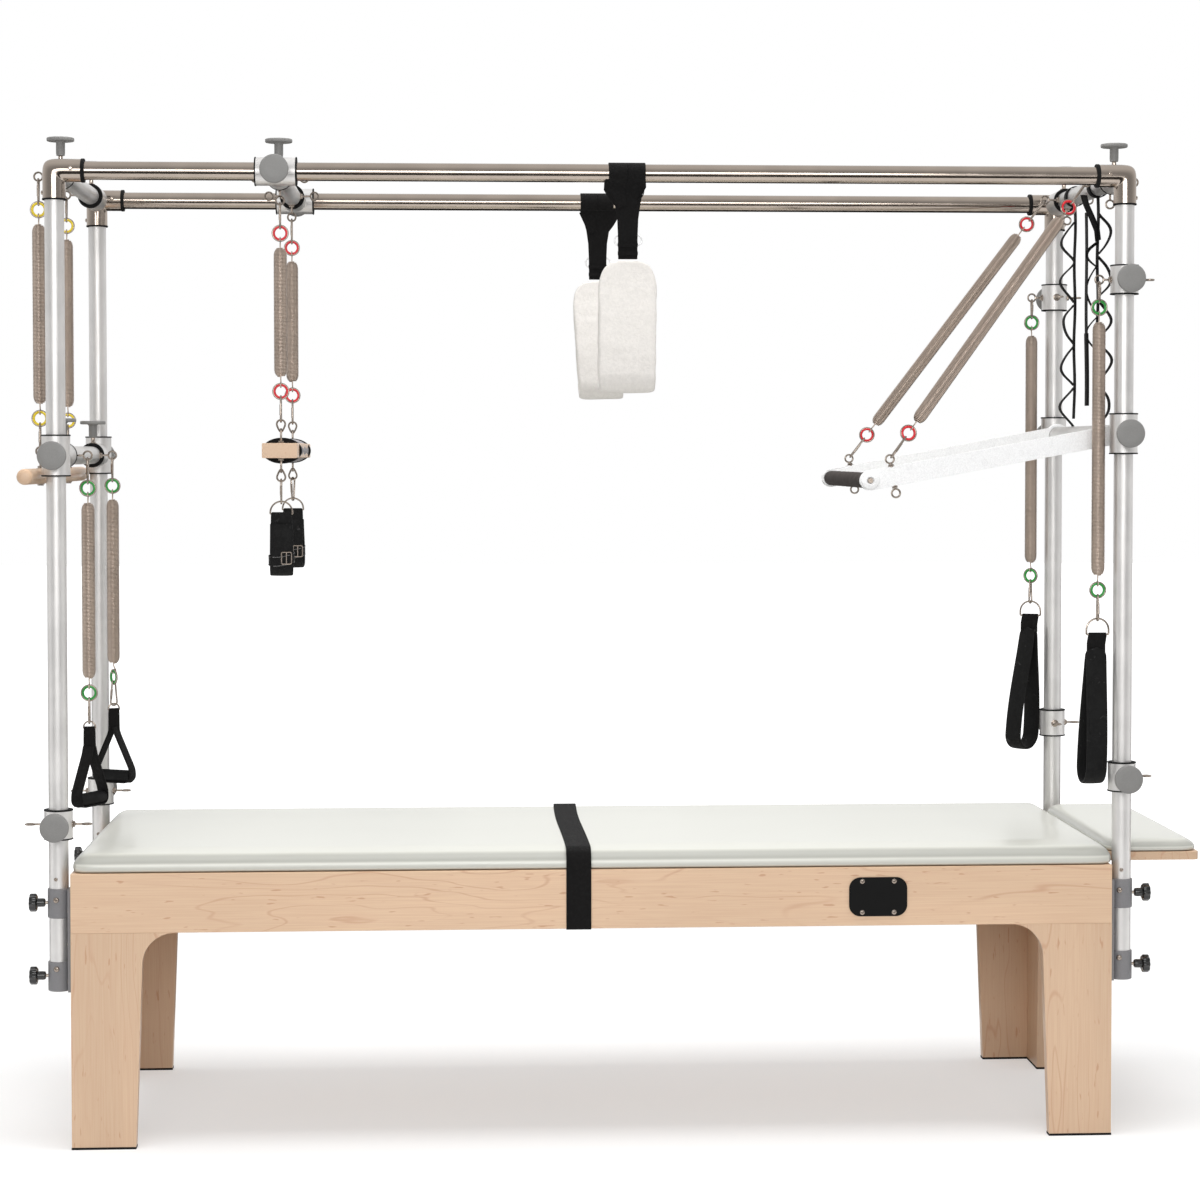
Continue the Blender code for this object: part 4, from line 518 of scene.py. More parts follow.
class Nodes:
    """A node tree and ways to add to it."""

    def __init__(self, tree):
        self.tree = tree

    def put(self, socket, value):
        """Sets or links a socket."""
        if isinstance(value, bpy.types.NodeSocket):
            self.tree.links.new(value, socket)
        else:
            socket.default_value = value

    def add(self, kind, inputs=None, output=0, **settings):
        """Adds a node and returns one of its outputs."""
        node = self.tree.nodes.new(kind)
        for name, value in settings.items():
            setattr(node, name, value)
        for name, value in (inputs or {}).items():
            self.put(node.inputs[name], value)
        return node.outputs[output]

    def math(self, operation, *values):
        """A sum on one to three values."""
        return self.add("ShaderNodeMath", dict(enumerate(values)), operation=operation)

    def split(self, vector):
        """The X, Y and Z of a vector."""
        return self.add("ShaderNodeSeparateXYZ", {0: vector}, slice(3))

    def span(self, value, low, high, new_low=0.0, new_high=1.0):
        """Moves a value from one span to another, with a smooth rise."""
        inputs = {"Value": value, "From Min": low, "From Max": high, "To Min": new_low, "To Max": new_high}
        return self.add("ShaderNodeMapRange", inputs, interpolation_type="SMOOTHSTEP")

    def seen(self):
        """1 for what the camera, a reflection or glass sees, and 0 for light that falls on a surface."""
        camera, glossy, through = (self.add("ShaderNodeLightPath", output=ray) for ray in
                                   ("Is Camera Ray", "Is Glossy Ray", "Is Transmission Ray"))
        return self.math("MAXIMUM", self.math("MAXIMUM", camera, glossy), through)


class Recipe(Nodes):
    """The nodes of one finish."""

    def __init__(self, name, shade, roughness, metallic=0.0):
        self.material = bpy.data.materials.new(name)
        self.material.use_nodes = True
        super().__init__(self.material.node_tree)
        self.shader = self.tree.nodes["Principled BSDF"]
        self.shade = (*shade, 1.0)
        self.material.diffuse_color = self.shade
        self.set("Base Color", self.shade)
        self.set("Roughness", roughness)
        self.set("Metallic", metallic)
        FINISH[name] = self.material

    def set(self, socket, value):
        """Sets or links one of the shader's sockets."""
        self.put(self.shader.inputs[socket], value)

    def place(self, scale=(1, 1, 1), lay=False):
        """Object coordinates, or the piece's lay, stretched by scale."""
        if lay:
            vector = self.add("ShaderNodeAttribute", output="Vector", attribute_name="lay")
        else:
            vector = self.add("ShaderNodeTexCoord", output="Object")
        return self.add("ShaderNodeMapping", {"Vector": vector, "Scale": scale})

    def noise(self, scale, detail=2.0, roughness=0.5, distortion=0.0, lay=False):
        """A cloudy pattern, as fine as scale says: one number, or one for each axis."""
        scales = scale if isinstance(scale, tuple) else (scale, scale, scale)
        return self.add("ShaderNodeTexNoise", {
            "Vector": self.place(scales, lay), "Scale": 1.0, "Detail": detail, "Roughness": roughness,
            "Distortion": distortion})

    def mix(self, share, one, two):
        """Mixes two colours."""
        return self.add("ShaderNodeMix", {0: share, 6: one, 7: two}, 2, data_type="RGBA")

    def tint(self, amount):
        """The finish's colour made lighter or darker by a share."""
        return tuple(min(level * amount, 1.0) for level in self.shade[:3]) + (1.0,)

    def ground(self, pattern, dark, light, low=0.3, high=0.7):
        """The finish's colour from dark to light over a pattern."""
        return self.mix(self.span(pattern, low, high), self.tint(dark), self.tint(light))

    def patches(self, ground, pattern, low, high, share, shade):
        """The ground with patches of another shade, a colour or a tint, where a pattern is high."""
        shade = shade if isinstance(shade, tuple) else self.tint(shade)
        return self.mix(self.span(pattern, low, high, 0.0, share), ground, shade)

    def nap(self, specular, sheen, roughness):
        """The dull sheen of cloth."""
        self.set("Specular IOR Level", specular)
        self.set("Sheen Weight", sheen)
        self.set("Sheen Roughness", roughness)

    def coat(self, weight, roughness):
        """A clear coat."""
        self.set("Coat Weight", weight)
        self.set("Coat Roughness", roughness)

    def relief(self, *layers):
        """Bump from (height, strength, distance) layers."""
        inputs = {}
        for height, strength, distance in layers:
            inputs.update({"Strength": strength, "Distance": distance, "Height": height})
            inputs["Normal"] = self.add("ShaderNodeBump", inputs)
        self.set("Normal", inputs["Normal"])


def maple(name, shade, figure, along):
    """Lacquered maple whose grain runs along X, Y or Z."""
    recipe = Recipe(name, [level * MAPLE_DEPTH[along] for level in shade], 0.42)
    figure = (*figure, 1.0)

    def grain(fine, long, detail=2.0, **settings):
        return recipe.noise(tuple(long if axis == along else fine for axis in "XYZ"), detail, **settings)

    growth = grain(6.5, 1.05, 3.0, roughness=0.45, distortion=0.35)
    contour = recipe.math("PINGPONG", recipe.math("MULTIPLY", growth, 11.0), 0.5)
    broken = recipe.span(grain(9.0, 3.2, 1.0), 0.38, 0.62, 0.12, 0.9)
    lines = recipe.math("MULTIPLY", recipe.span(contour, 0.0, 0.085, 1.0, 0.0), broken)
    fibres = grain(420.0, 7.0)
    ground = recipe.ground(grain(8.0, 1.3), 0.95, 1.03)
    ground = recipe.patches(ground, fibres, 0.25, 0.75, 0.24, figure)
    ground = recipe.mix(recipe.math("MULTIPLY", lines, 0.55), ground, figure)
    ground = recipe.patches(ground, grain(150.0, 26.0, 1.0), 0.69, 0.77, 0.70, figure)
    recipe.set("Base Color", ground)
    recipe.set("Roughness", recipe.span(fibres, 0.2, 0.8, 0.36, 0.50))
    recipe.coat(0.22, 0.28)
    recipe.relief((recipe.math("ADD", fibres, lines), 0.10, 0.0003))


def vinyl(name, shade):
    """Coated vinyl with a fine emboss. Painted shade makes its sides darker than its top, and its slopes
    darker still.
    """
    recipe = Recipe(name, shade, 0.34)
    streaks = recipe.noise((1.2, 75.0, 30.0))
    ground = recipe.ground(streaks, 0.985, 1.012)
    ground = recipe.patches(ground, recipe.noise((3.0, 5.0, 5.0)), 0.35, 0.7, 0.35, 0.975)
    rise = recipe.split(recipe.add("ShaderNodeNewGeometry", output="Normal"))[2]
    # Painted shade: the sides and the sloped edges are darkened by how far their surface faces up
    painted_slope_shade = recipe.math("MULTIPLY", recipe.span(rise, 0.28, 0.50), recipe.span(rise, 0.80, 0.985, 1.0, 0.0))
    # Painted shade on the upright sides
    ground = recipe.mix(recipe.span(rise, 0.10, 0.30, 0.6, 0.0), ground, recipe.tint(0.84))
    # Darker painted shade on the sloped edges
    recipe.set("Base Color", recipe.mix(painted_slope_shade, ground, recipe.tint(0.62)))
    recipe.set("Roughness", recipe.span(streaks, 0.3, 0.7, 0.30, 0.34))
    emboss = recipe.add("ShaderNodeTexVoronoi", {"Vector": recipe.place(), "Scale": 720.0},
                        feature="SMOOTH_F1")
    recipe.relief((emboss, 0.16, 0.0002))
    recipe.coat(0.45, 0.20)


def metal(name, shade, roughness, scratch=(900.0, 12.0), depth=0.05, metallic=1.0):
    """Drawn metal with fine lines, small clouds of tone and a little wear."""
    recipe = Recipe(name, shade, roughness, metallic)
    lines = recipe.noise((scratch[1], scratch[0], scratch[0]), lay=True)
    clouds = recipe.noise(14.0, 3.0)
    recipe.set("Base Color", recipe.ground(clouds, 0.94, 1.05))
    recipe.set("Roughness", recipe.math(
        "ADD", recipe.span(lines, 0.2, 0.8, roughness * 0.78, roughness * 1.25),
        recipe.span(clouds, 0.45, 0.75, 0.0, 0.05)))
    if depth:
        recipe.relief((lines, depth, 0.0002))


def plastic(name, shade, roughness, grain, depth, coat, gloss):
    """Moulded plastic or powder paint with a fine grain."""
    recipe = Recipe(name, shade, roughness)
    recipe.set("Specular IOR Level", gloss)
    fine, worn = recipe.noise(grain), recipe.noise(38.0, 3.0)
    recipe.set("Base Color", recipe.patches(recipe.ground(fine, 0.93, 1.06), worn, 0.60, 0.80, 0.4, 1.12))
    recipe.set("Roughness", recipe.span(worn, 0.3, 0.7, roughness * 0.88, roughness * 1.12))
    recipe.relief((fine, depth, 0.0003))
    if coat:
        recipe.coat(coat, 0.12)


def webbing(name, shade, weave, roughness=0.82):
    """Woven strap: threads along and across the piece's lay."""
    recipe = Recipe(name, shade, roughness)
    rate = math.tau / weave
    along, across, _ = recipe.split(recipe.add("ShaderNodeAttribute", output="Vector", attribute_name="lay"))
    warp = recipe.math("SINE", recipe.math("MULTIPLY", across, rate))
    weft = recipe.math("SINE", recipe.math("MULTIPLY", along, rate * 0.8))
    threads = recipe.math("MULTIPLY", warp, weft)
    lint = recipe.noise(160.0, 3.0)
    ground = recipe.ground(threads, 0.72, 1.45, -1.0, 1.0)
    recipe.set("Base Color", recipe.patches(ground, lint, 0.52, 0.75, 0.55, 2.1))
    recipe.set("Roughness", recipe.span(lint, 0.3, 0.7, roughness * 0.9, min(roughness * 1.12, 1.0)))
    recipe.nap(0.18, 0.03, 0.5)
    recipe.relief((threads, 0.55, 0.0004), (lint, 0.15, 0.0004))


def neoprene(name, shade, edge):
    """Soft laminated cloth of the cuffs and foot loops, a little scuffed."""
    recipe = Recipe(name, shade, 0.72)
    knit = recipe.noise(1300.0, 1.0)
    scuffs = recipe.noise(70.0, 4.0, distortion=0.8)
    creases = recipe.noise((40.0, 40.0, 12.0), 3.0, distortion=0.5)
    ground = recipe.ground(knit, 0.8, 1.35)
    recipe.set("Base Color", recipe.patches(ground, scuffs, 0.60, 0.85, 0.35, (*edge, 1.0)))
    recipe.set("Roughness", recipe.span(scuffs, 0.3, 0.7, 0.62, 0.80))
    recipe.nap(0.22, 0.04, 0.45)
    recipe.relief((knit, 0.25, 0.0002), (creases, 0.35, 0.002))


def fleece_cloth(name, shade):
    """Thick pile with clumped tufts."""
    recipe = Recipe(name, shade, 0.95)
    tufts = recipe.noise(150.0, 4.0, 0.65, 0.6)
    fibres = recipe.noise((900.0, 900.0, 315.0))
    clumps = recipe.noise(22.0)
    ground = recipe.ground(tufts, 0.93, 1.03)
    recipe.set("Base Color", recipe.patches(ground, clumps, 0.35, 0.65, 0.3, 0.96))
    recipe.nap(0.25, 0.12, 0.6)
    recipe.relief((clumps, 0.25, 0.004), (tufts, 0.6, 0.0014), (fibres, 0.4, 0.0005))


def mix_finishes(colours, weave):
    """Makes every finish."""
    for along in "XYZ":
        maple("maple_" + along.lower(), colours.maple, colours.maple_figure, along)
    vinyl("vinyl", colours.vinyl)
    # Polished and bright steel both take the steel colour, with its painted warm reflection
    metal("polished_steel", colours.steel, 0.13, depth=0.012)
    metal("bright_steel", [level * 0.85 for level in colours.steel], 0.24, (300.0, 60.0))
    metal("satin_aluminium", colours.aluminium, 0.42, (1400.0, 8.0), 0.08, 0.8)
    metal("spring_steel", colours.spring, 0.34, (30.0, 9.0), 0)
    for name, shade, roughness, grain, depth, coat, gloss in (
            ("knob_grey", "knob_grey", 0.55, 900.0, 0.12, 0.0, 0.5),
            ("bracket_grey", "bracket_grey", 0.46, 700.0, 0.2, 0.0, 0.5),
            ("white_paint", "white_paint", 0.30, 500.0, 0.04, 0.3, 0.5),
            ("black_gloss", "black", 0.22, 500.0, 0.03, 0.5, 0.5),
            ("black_rubber", "black", 0.70, 1100.0, 0.2, 0.0, 0.2),
            ("black_plate", "black", 0.48, 1200.0, 0.15, 0.0, 0.12),
            ("foam", "foam", 0.92, 620.0, 0.7, 0.0, 0.2),
            ("pad_grey", "pad_grey", 0.80, 800.0, 0.5, 0.0, 0.5),
            ("sleeve_yellow", "yellow", 0.38, 300.0, 0.05, 0.2, 0.5),
            ("sleeve_red", "red", 0.38, 300.0, 0.05, 0.2, 0.5),
            ("sleeve_green", "green", 0.38, 300.0, 0.05, 0.2, 0.5)):
        plastic(name, getattr(colours, shade), roughness, grain, depth, coat, gloss)
    webbing("webbing", colours.webbing, weave)
    webbing("seam_thread", colours.cuff_edge, weave * 1.4, 0.7)
    neoprene("neoprene", colours.cuff, colours.cuff_edge)
    fleece_cloth("fleece", colours.fleece)


# Soft pads

def pad_form(low, high, thickness, corner, step):
    """A pad as a form of even squares, with drawn-in sides and round corners, and its held corners."""
    form = Form()
    inset = PAD_SIDE[-1][0]
    counts = [max(round((high[axis] - low[axis] - 2 * inset) / step), 4) for axis in (0, 1)]
    spans = []
    for axis in (0, 1):
        first, last = low[axis] + inset, high[axis] - inset
        spans.append([first + (last - first) * index / counts[axis] for index in range(counts[axis] + 1)])
    centre = [(low[axis] + high[axis]) / 2 for axis in (0, 1)]
    half = [(high[axis] - low[axis]) / 2 for axis in (0, 1)]
    rim = [(i, 0) for i in range(counts[0])] + [(counts[0], j) for j in range(counts[1])]
    rim += [(i, counts[1]) for i in range(counts[0], 0, -1)] + [(0, j) for j in range(counts[1], 0, -1)]

    def settle(x, y, inward):
        """Keeps a place inside the rounded outline."""
        away = [abs(value - centre[axis]) for axis, value in enumerate((x, y))]
        sign = [1 if value >= centre[axis] else -1 for axis, value in enumerate((x, y))]
        pivot = [half[axis] - corner for axis in (0, 1)]
        over = [away[axis] - pivot[axis] for axis in (0, 1)]
        if min(over) > 0:
            reach = corner - inward
            size = math.hypot(*over)
            if size > reach:
                away = [pivot[axis] + over[axis] * reach / size for axis in (0, 1)]
        return [centre[axis] + sign[axis] * away[axis] for axis in (0, 1)]

    def sheet(height):
        """One face of the pad."""
        rows = []
        for i in range(counts[0] + 1):
            places = [settle(spans[0][i], spans[1][j], inset) for j in range(counts[1] + 1)]
            rows.append([form.vert((*place, height)) for place in places])
        for i in range(counts[0]):
            for j in range(counts[1]):
                form.mesh.faces.new((rows[i][j], rows[i + 1][j], rows[i + 1][j + 1], rows[i][j + 1]))
        return rows

    def rim_loop(inward, height):
        """One loop round the side."""
        loop = []
        for i, j in rim:
            grow = inset - inward
            x = spans[0][i] + grow * ((i == counts[0]) - (i == 0))
            y = spans[1][j] + grow * ((j == counts[1]) - (j == 0))
            loop.append(form.vert((*settle(x, y, inward), height)))
        return loop

    bottom = sheet(low[2])
    top = sheet(low[2] + thickness)
    loops = [[bottom[i][j] for i, j in rim]]
    loops += [rim_loop(inward, low[2] + share * thickness) for inward, share in PAD_SIDE[:-1]]
    loops.append([top[i][j] for i, j in rim])
    form.skin(loops, caps=False)
    form.mesh.verts.index_update()
    held = [corner.index for row in bottom for corner in row]
    held += [corner.index for loop in (*loops[1:3], loops[-1]) for corner in loop]
    return form, held


def swell(pad, held, cap):
    """Blows up a pad's cover by cloth simulation and keeps each corner's move under cap."""
    scene = bpy.context.scene
    rest = [corner.co.copy() for corner in pad.data.vertices]
    group = pad.vertex_groups.new(name="held")
    group.add(held, 1.0, "REPLACE")
    cloth = pad.modifiers.new("cover", "CLOTH")
    settings = cloth.settings
    settings.quality = 4
    settings.use_pressure = True
    settings.uniform_pressure_force = SWELL_PRESSURE
    settings.vertex_group_mass = group.name
    settings.effector_weights.gravity = 0
    cloth.collision_settings.use_collision = False
    cloth.point_cache.frame_start = 1
    cloth.point_cache.frame_end = SWELL_FRAMES
    for number in range(1, SWELL_FRAMES + 1):
        scene.frame_set(number)
    shape = pad.evaluated_get(bpy.context.evaluated_depsgraph_get()).to_mesh()
    moved = [corner.co.copy() for corner in shape.vertices]
    pad.modifiers.remove(cloth)
    pad.vertex_groups.remove(group)
    scene.frame_set(1)
    for corner, start, end in zip(pad.data.vertices, rest, moved):
        move = end - start
        if move.length > cap:
            move *= cap / move.length
        corner.co = start + move
    pad.data.update()


# Wooden table, mat, strap, plate and leaf

def leg_outline(half_length, leg_width, end):
    """One leg with its share of the arch, in the panel's plane."""
    foot = half_length - leg_width
    knee = foot - LEG_TAPER
    outline = [(half_length, RAIL_BOTTOM), (half_length, 0), (foot, 0)]
    outline += arc((knee - ARCH_RADIUS, RAIL_BOTTOM - ARCH_RADIUS), ARCH_RADIUS, 0, 90, 16)
    return [(end * x, z) for x, z in outline]


def make_panel(name, origin, right, half_length, leg_width, grain, rail_grain, edge):
    """A rail and its two legs."""
    inward = plane(origin, right, Z_AXIS)
    rail = Form()
    outline = [(-half_length, RAIL_BOTTOM), (half_length, RAIL_BOTTOM)]
    outline += [(half_length, DECK_HEIGHT), (-half_length, DECK_HEIGHT)]
    rail.prism(inward, outline, -BOARD / 2, BOARD / 2)
    piece(name + "_rail", rail, "frame", rail_grain, name, bevel=edge)
    for number, end in enumerate((-1, 1), 1):
        leg = Form()
        leg.prism(inward, leg_outline(half_length, leg_width, end), -BOARD / 2, BOARD / 2)
        piece(f"{name}_leg_{number}", leg, "frame", grain, bevel=edge)


def make_table(edge):
    """Rails, legs, deck and foot strips."""
    for name, side in SIDES.items():
        origin = (0, side * (HALF_WIDTH - BOARD / 2), 0)
        make_panel(name + "_panel", origin, X_AXIS, HALF_LENGTH, LEG_WIDTH, "maple_z", "maple_x", edge)
    for name, end in ENDS.items():
        origin = (end * (HALF_LENGTH - BOARD / 2), 0, 0)
        half = HALF_WIDTH - BOARD - SEAM
        make_panel(name + "_end_panel", origin, Y_AXIS, half, END_LEG_WIDTH, "maple_z", "maple_y", edge)
        for side_name, side in SIDES.items():
            strip = Form()
            out = FOOT_STRIP_PROUD
            corner = (HALF_LENGTH + out, HALF_WIDTH + out)
            inner = (HALF_LENGTH - LEG_WIDTH - out, HALF_WIDTH - END_LEG_WIDTH - BOARD - out)
            thick = BOARD + 2 * out
            outline = [corner, (inner[0], corner[1]), (inner[0], corner[1] - thick)]
            outline += [(corner[0] - thick, corner[1] - thick), (corner[0] - thick, inner[1])]
            outline += [(corner[0], inner[1])]
            outline = [(end * x, side * y) for x, y in outline]
            strip.prism(Matrix.Identity(4), outline, 0, FOOT_STRIP_HEIGHT)
            piece(f"{name}_{side_name}_foot_strip", strip, "frame", "black_rubber", bevel=0.0004)
    dress("deck_board", "maple_x")


def make_mat(swelling):
    """The vinyl mat."""
    low = (-HALF_LENGTH, 0.0010 - HALF_WIDTH, DECK_HEIGHT + SEAM)
    high = (HALF_LENGTH + 0.006, HALF_WIDTH - 0.0010, 0)
    form, held = pad_form(low, high, MAT_THICKNESS, 0.008, 0.014)
    mat = piece("mat_cover", form, "frame", "vinyl", "mat", angle=80, subdivide=1)
    swell(mat, held, swelling)


def make_tie_strap(bow):
    """The strap round the mat, the deck and both rails."""
    form = Form()
    half = HALF_WIDTH + 0.0014
    top = MAT_TOP + 0.0013
    bottom = RAIL_BOTTOM - 0.0013
    shoulder = [(0, 0.0225), (0.0095, 0.0085), (0.0300, 0)]
    corners = [(-half, bottom)] + [(inset - half, top - drop) for inset, drop in shoulder] + [(0, top)]
    corners += [(half - inset, top - drop) for inset, drop in reversed(shoulder)]
    corners += [(half, bottom), (0, bottom)]
    ease = [0.006, 0.006, 0.008]
    route = eased([(STRAP_X, y, z) for y, z in corners], [0.004, *ease, 0, *reversed(ease), 0.004, 0],
                  closed=True)
    fine = []
    for index, point in enumerate(route):
        after = route[(index + 1) % len(route)]
        spans = max(round((after - point).length / 0.02), 1)
        fine += [point.lerp(after, step / spans) for step in range(spans)]
    for point in fine:
        if point.z > DECK_HEIGHT:
            point.x -= bow * math.sin(math.pi * (point.y + half) / (2 * half))
            point.x += 0.4 * bow * math.sin(2 * math.pi * (point.y + half) / (2 * half))
    form.sweep(fine, strap_section(STRAP_WIDTH, 0.002), X_AXIS, closed=True)
    piece("mat_strap", form, "frame", "webbing", "tie_strap", angle=60)


def make_plate():
    """The bare plate on the front rail and its screws."""
    form = Form()
    face = -HALF_WIDTH - SEAM
    place = plane((PLATE_PLACE[0], face, PLATE_PLACE[1]), X_AXIS, Z_AXIS)
    form.prism(place, rounded_rectangle(PLATE_SIZE[0] / 2, PLATE_SIZE[1] / 2, PLATE_CORNER, 10), 0, 0.003)
    piece("rail_plate", form, "frame", "black_plate", "front_plate", bevel=0.0009)
    screws = Form()
    for x in (-1, 1):
        for z in (-1, 1):
            spot = (PLATE_PLACE[0] + x * PLATE_SCREWS[0], face - 0.003, PLATE_PLACE[1] + z * PLATE_SCREWS[1])
            screws.screw(spot, -Y_AXIS, 0.0052, 0.0022)
    piece("rail_plate_screws", screws, "frame", "bright_steel")


def make_leaf(swelling, edge):
    """The padded end leaf, its board and its angle bracket."""
    board = Form()
    centre = ((LEAF_X[0] + LEAF_X[1]) / 2, 0, DECK_HEIGHT)
    half = (LEAF_X[1] - LEAF_X[0]) / 2
    outline = [(-half, -LEAF_HALF_WIDTH)]
    for way in (-1, 1):
        centre_y = way * (LEAF_HALF_WIDTH - LEAF_CORNER)
        outline += arc((half - LEAF_CORNER, centre_y), LEAF_CORNER, 45 * way - 45, 45 * way + 45, 6)
    outline.append((-half, LEAF_HALF_WIDTH))
    board.prism(Matrix.Translation(centre), outline, 0, LEAF_BOARD)
    piece("leaf_wood", board, "frame", "maple_y", "leaf_board", bevel=edge)
    base = DECK_HEIGHT + LEAF_BOARD + SEAM
    low, high = (LEAF_X[0], -LEAF_HALF_WIDTH, base), (LEAF_X[1], LEAF_HALF_WIDTH, 0)
    form, held = pad_form(low, high, LEAF_PAD - 0.0005, 0.020, 0.008)
    pad = piece("leaf_cushion", form, "frame", "vinyl", "leaf_pad", angle=80, subdivide=1)
    swell(pad, held, swelling)
    bracket = Form()
    inner, top = HALF_LENGTH + SEAM, DECK_HEIGHT - SEAM
    thick, bend = LEAF_ANGLE_THICKNESS, LEAF_ANGLE_THICKNESS + 0.004
    outline = [(inner + out, top - down) for out, down in (
        (0, LEAF_ANGLE_DEPTH), (thick, LEAF_ANGLE_DEPTH), (thick, bend), (bend, thick),
        (LEAF_ANGLE_REACH, thick), (LEAF_ANGLE_REACH, 0), (0, 0))]
    bracket.prism(plane((0, 0, 0), X_AXIS, Z_AXIS), outline, -LEAF_ANGLE_HALF, LEAF_ANGLE_HALF)
    piece("leaf_angle", bracket, "frame", "bracket_grey", "leaf_bracket", bevel=0.0008)
    screws = Form()
    for y in LEAF_SCREWS:
        screws.screw((inner + thick, y, top - 0.055), X_AXIS, 0.0055, 0.0026)
    piece("leaf_screws", screws, "frame", "bright_steel")


# Frame and clamps

def disc_knob(form, origin, direction, start, reach, radius, thickness, edge):
    """A round clamp knob: neck, dished disc and small centre mark."""
    inner = reach - thickness
    profile = [(NECK_RADIUS * 0.92, start), (NECK_RADIUS, start + 0.006), (NECK_RADIUS, inner - 0.003)]
    profile += [(NECK_RADIUS + 0.003, inner), (radius - edge, inner),
                (radius - edge * 0.3, inner + edge * 0.3)]
    profile += [(radius, inner + edge), (radius, reach - edge), (radius - edge * 0.3, reach - edge * 0.3)]
    profile += [(radius - edge, reach), (radius * 0.45, reach - 0.0004), (radius * 0.05, reach - 0.0006)]
    form.lathe(seat(origin, direction), profile)


def tee_knob(steel, knobs, origin, knob_edge):
    """A flat clamp knob on its stud and washer, over a sleeve."""
    place = seat(origin, Z_AXIS)
    steel.rod(place, 0.0085, SLEEVE_RADIUS - 0.002, SLEEVE_RADIUS + 0.0022, sides=SMALL_ROUND)
    steel.rod(place, 0.0048, SLEEVE_RADIUS, 0.046, sides=SMALL_ROUND)
    disc_knob(knobs, origin, Z_AXIS, 0.041, TEE_REACH, TEE_RADIUS, TEE_THICKNESS, knob_edge)


def end_rings(form, place, radius, inner, heights, width=0.0036):
    """Black rings at a sleeve's ends."""
    for height in heights:
        form.collar(place, radius + 0.0011, inner, height - width / 2, height + width / 2, 0.0007)


def eye_bolt(form, root, direction, start, reach, normal, pointed=0.0):
    """An eye bolt with its nut. Its ring's centre lies at reach from the root."""
    root, direction = Vector(root), Vector(direction)
    place = axle(root, direction, normal)
    form.rod(place, 0.0085, start - 0.001, start + 0.0012, 0.0003, sides=SMALL_ROUND)
    form.rod(place, 0.0064, start + 0.0010, start + 0.0056, 0.0006, sides=6)
    form.rod(place, 0.0024, start, reach - EYE_RADIUS, 0.0003, sides=WIRE_ROUND)
    face = plane(root + reach * direction, direction, Vector(normal).cross(direction))
    ring = []
    for angle in turns(28):
        pull = 1 + pointed * max(0.0, -math.cos(angle)) ** 3
        ring.append((EYE_RADIUS * pull * math.cos(angle), EYE_RADIUS * math.sin(angle)))
    form.wire(laid(face, ring), WIRE, Vector(normal), closed=True)


def make_posts_and_tubes():
    """Posts, top tubes and top cross bars."""
    for name, end, side in CORNERS:
        tube, bolt = Form(), Form()
        place = axle((end * POST_X, side * POST_Y, 0), Z_AXIS, -side * Y_AXIS)
        tube.collar(place, POST_RADIUS, POST_RADIUS - TUBE_WALL, POST_FOOT, TOP_HEIGHT - TUBE_END)
        spot = (end * POST_X - 0.004, side * POST_Y - 0.0199, POST_SCREW_HEIGHT)
        bolt.screw(spot, (-0.2, -1, 0), 0.0040, 0.0020)
        piece(name + "_post_tube", tube, "frame", "satin_aluminium", name + "_post")
        piece(name + "_post_screw", bolt, "frame", "bright_steel")
    for name, side in SIDES.items():
        form = Form()
        reach = POST_X - TUBE_END
        place = axle((0, side * POST_Y, TOP_HEIGHT), X_AXIS, -Z_AXIS)
        form.collar(place, TUBE_RADIUS, TUBE_RADIUS - TUBE_WALL, -reach, reach)
        piece(name + "_top_rail", form, "frame", "polished_steel", name + "_top_tube")
    for name, end in ENDS.items():
        bar, eyes = Form(), Form()
        place = axle((end * POST_X, 0, TOP_HEIGHT), Y_AXIS, -Z_AXIS)
        bar.rod(place, CROSS_RADIUS, -TOP_BAR_HALF, TOP_BAR_HALF)
        eye_sets = [(-X_AXIS, CROSS_EYE_REACH)]
        if end == RIGHT:
            eye_sets += [(X_AXIS, CROSS_EYE_REACH), (-Z_AXIS, DOWN_EYE_REACH)]
        for y in (-EYE_Y, EYE_Y):
            for direction, reach in eye_sets:
                eye_bolt(eyes, (end * POST_X, y, TOP_HEIGHT), direction, CROSS_EYE_START, reach, Y_AXIS)
        node = name + "_top_cross_bar"
        piece(node + "_tube", bar, "frame", "satin_aluminium", node)
        piece(node + "_eyes", eyes, "frame", "bright_steel")


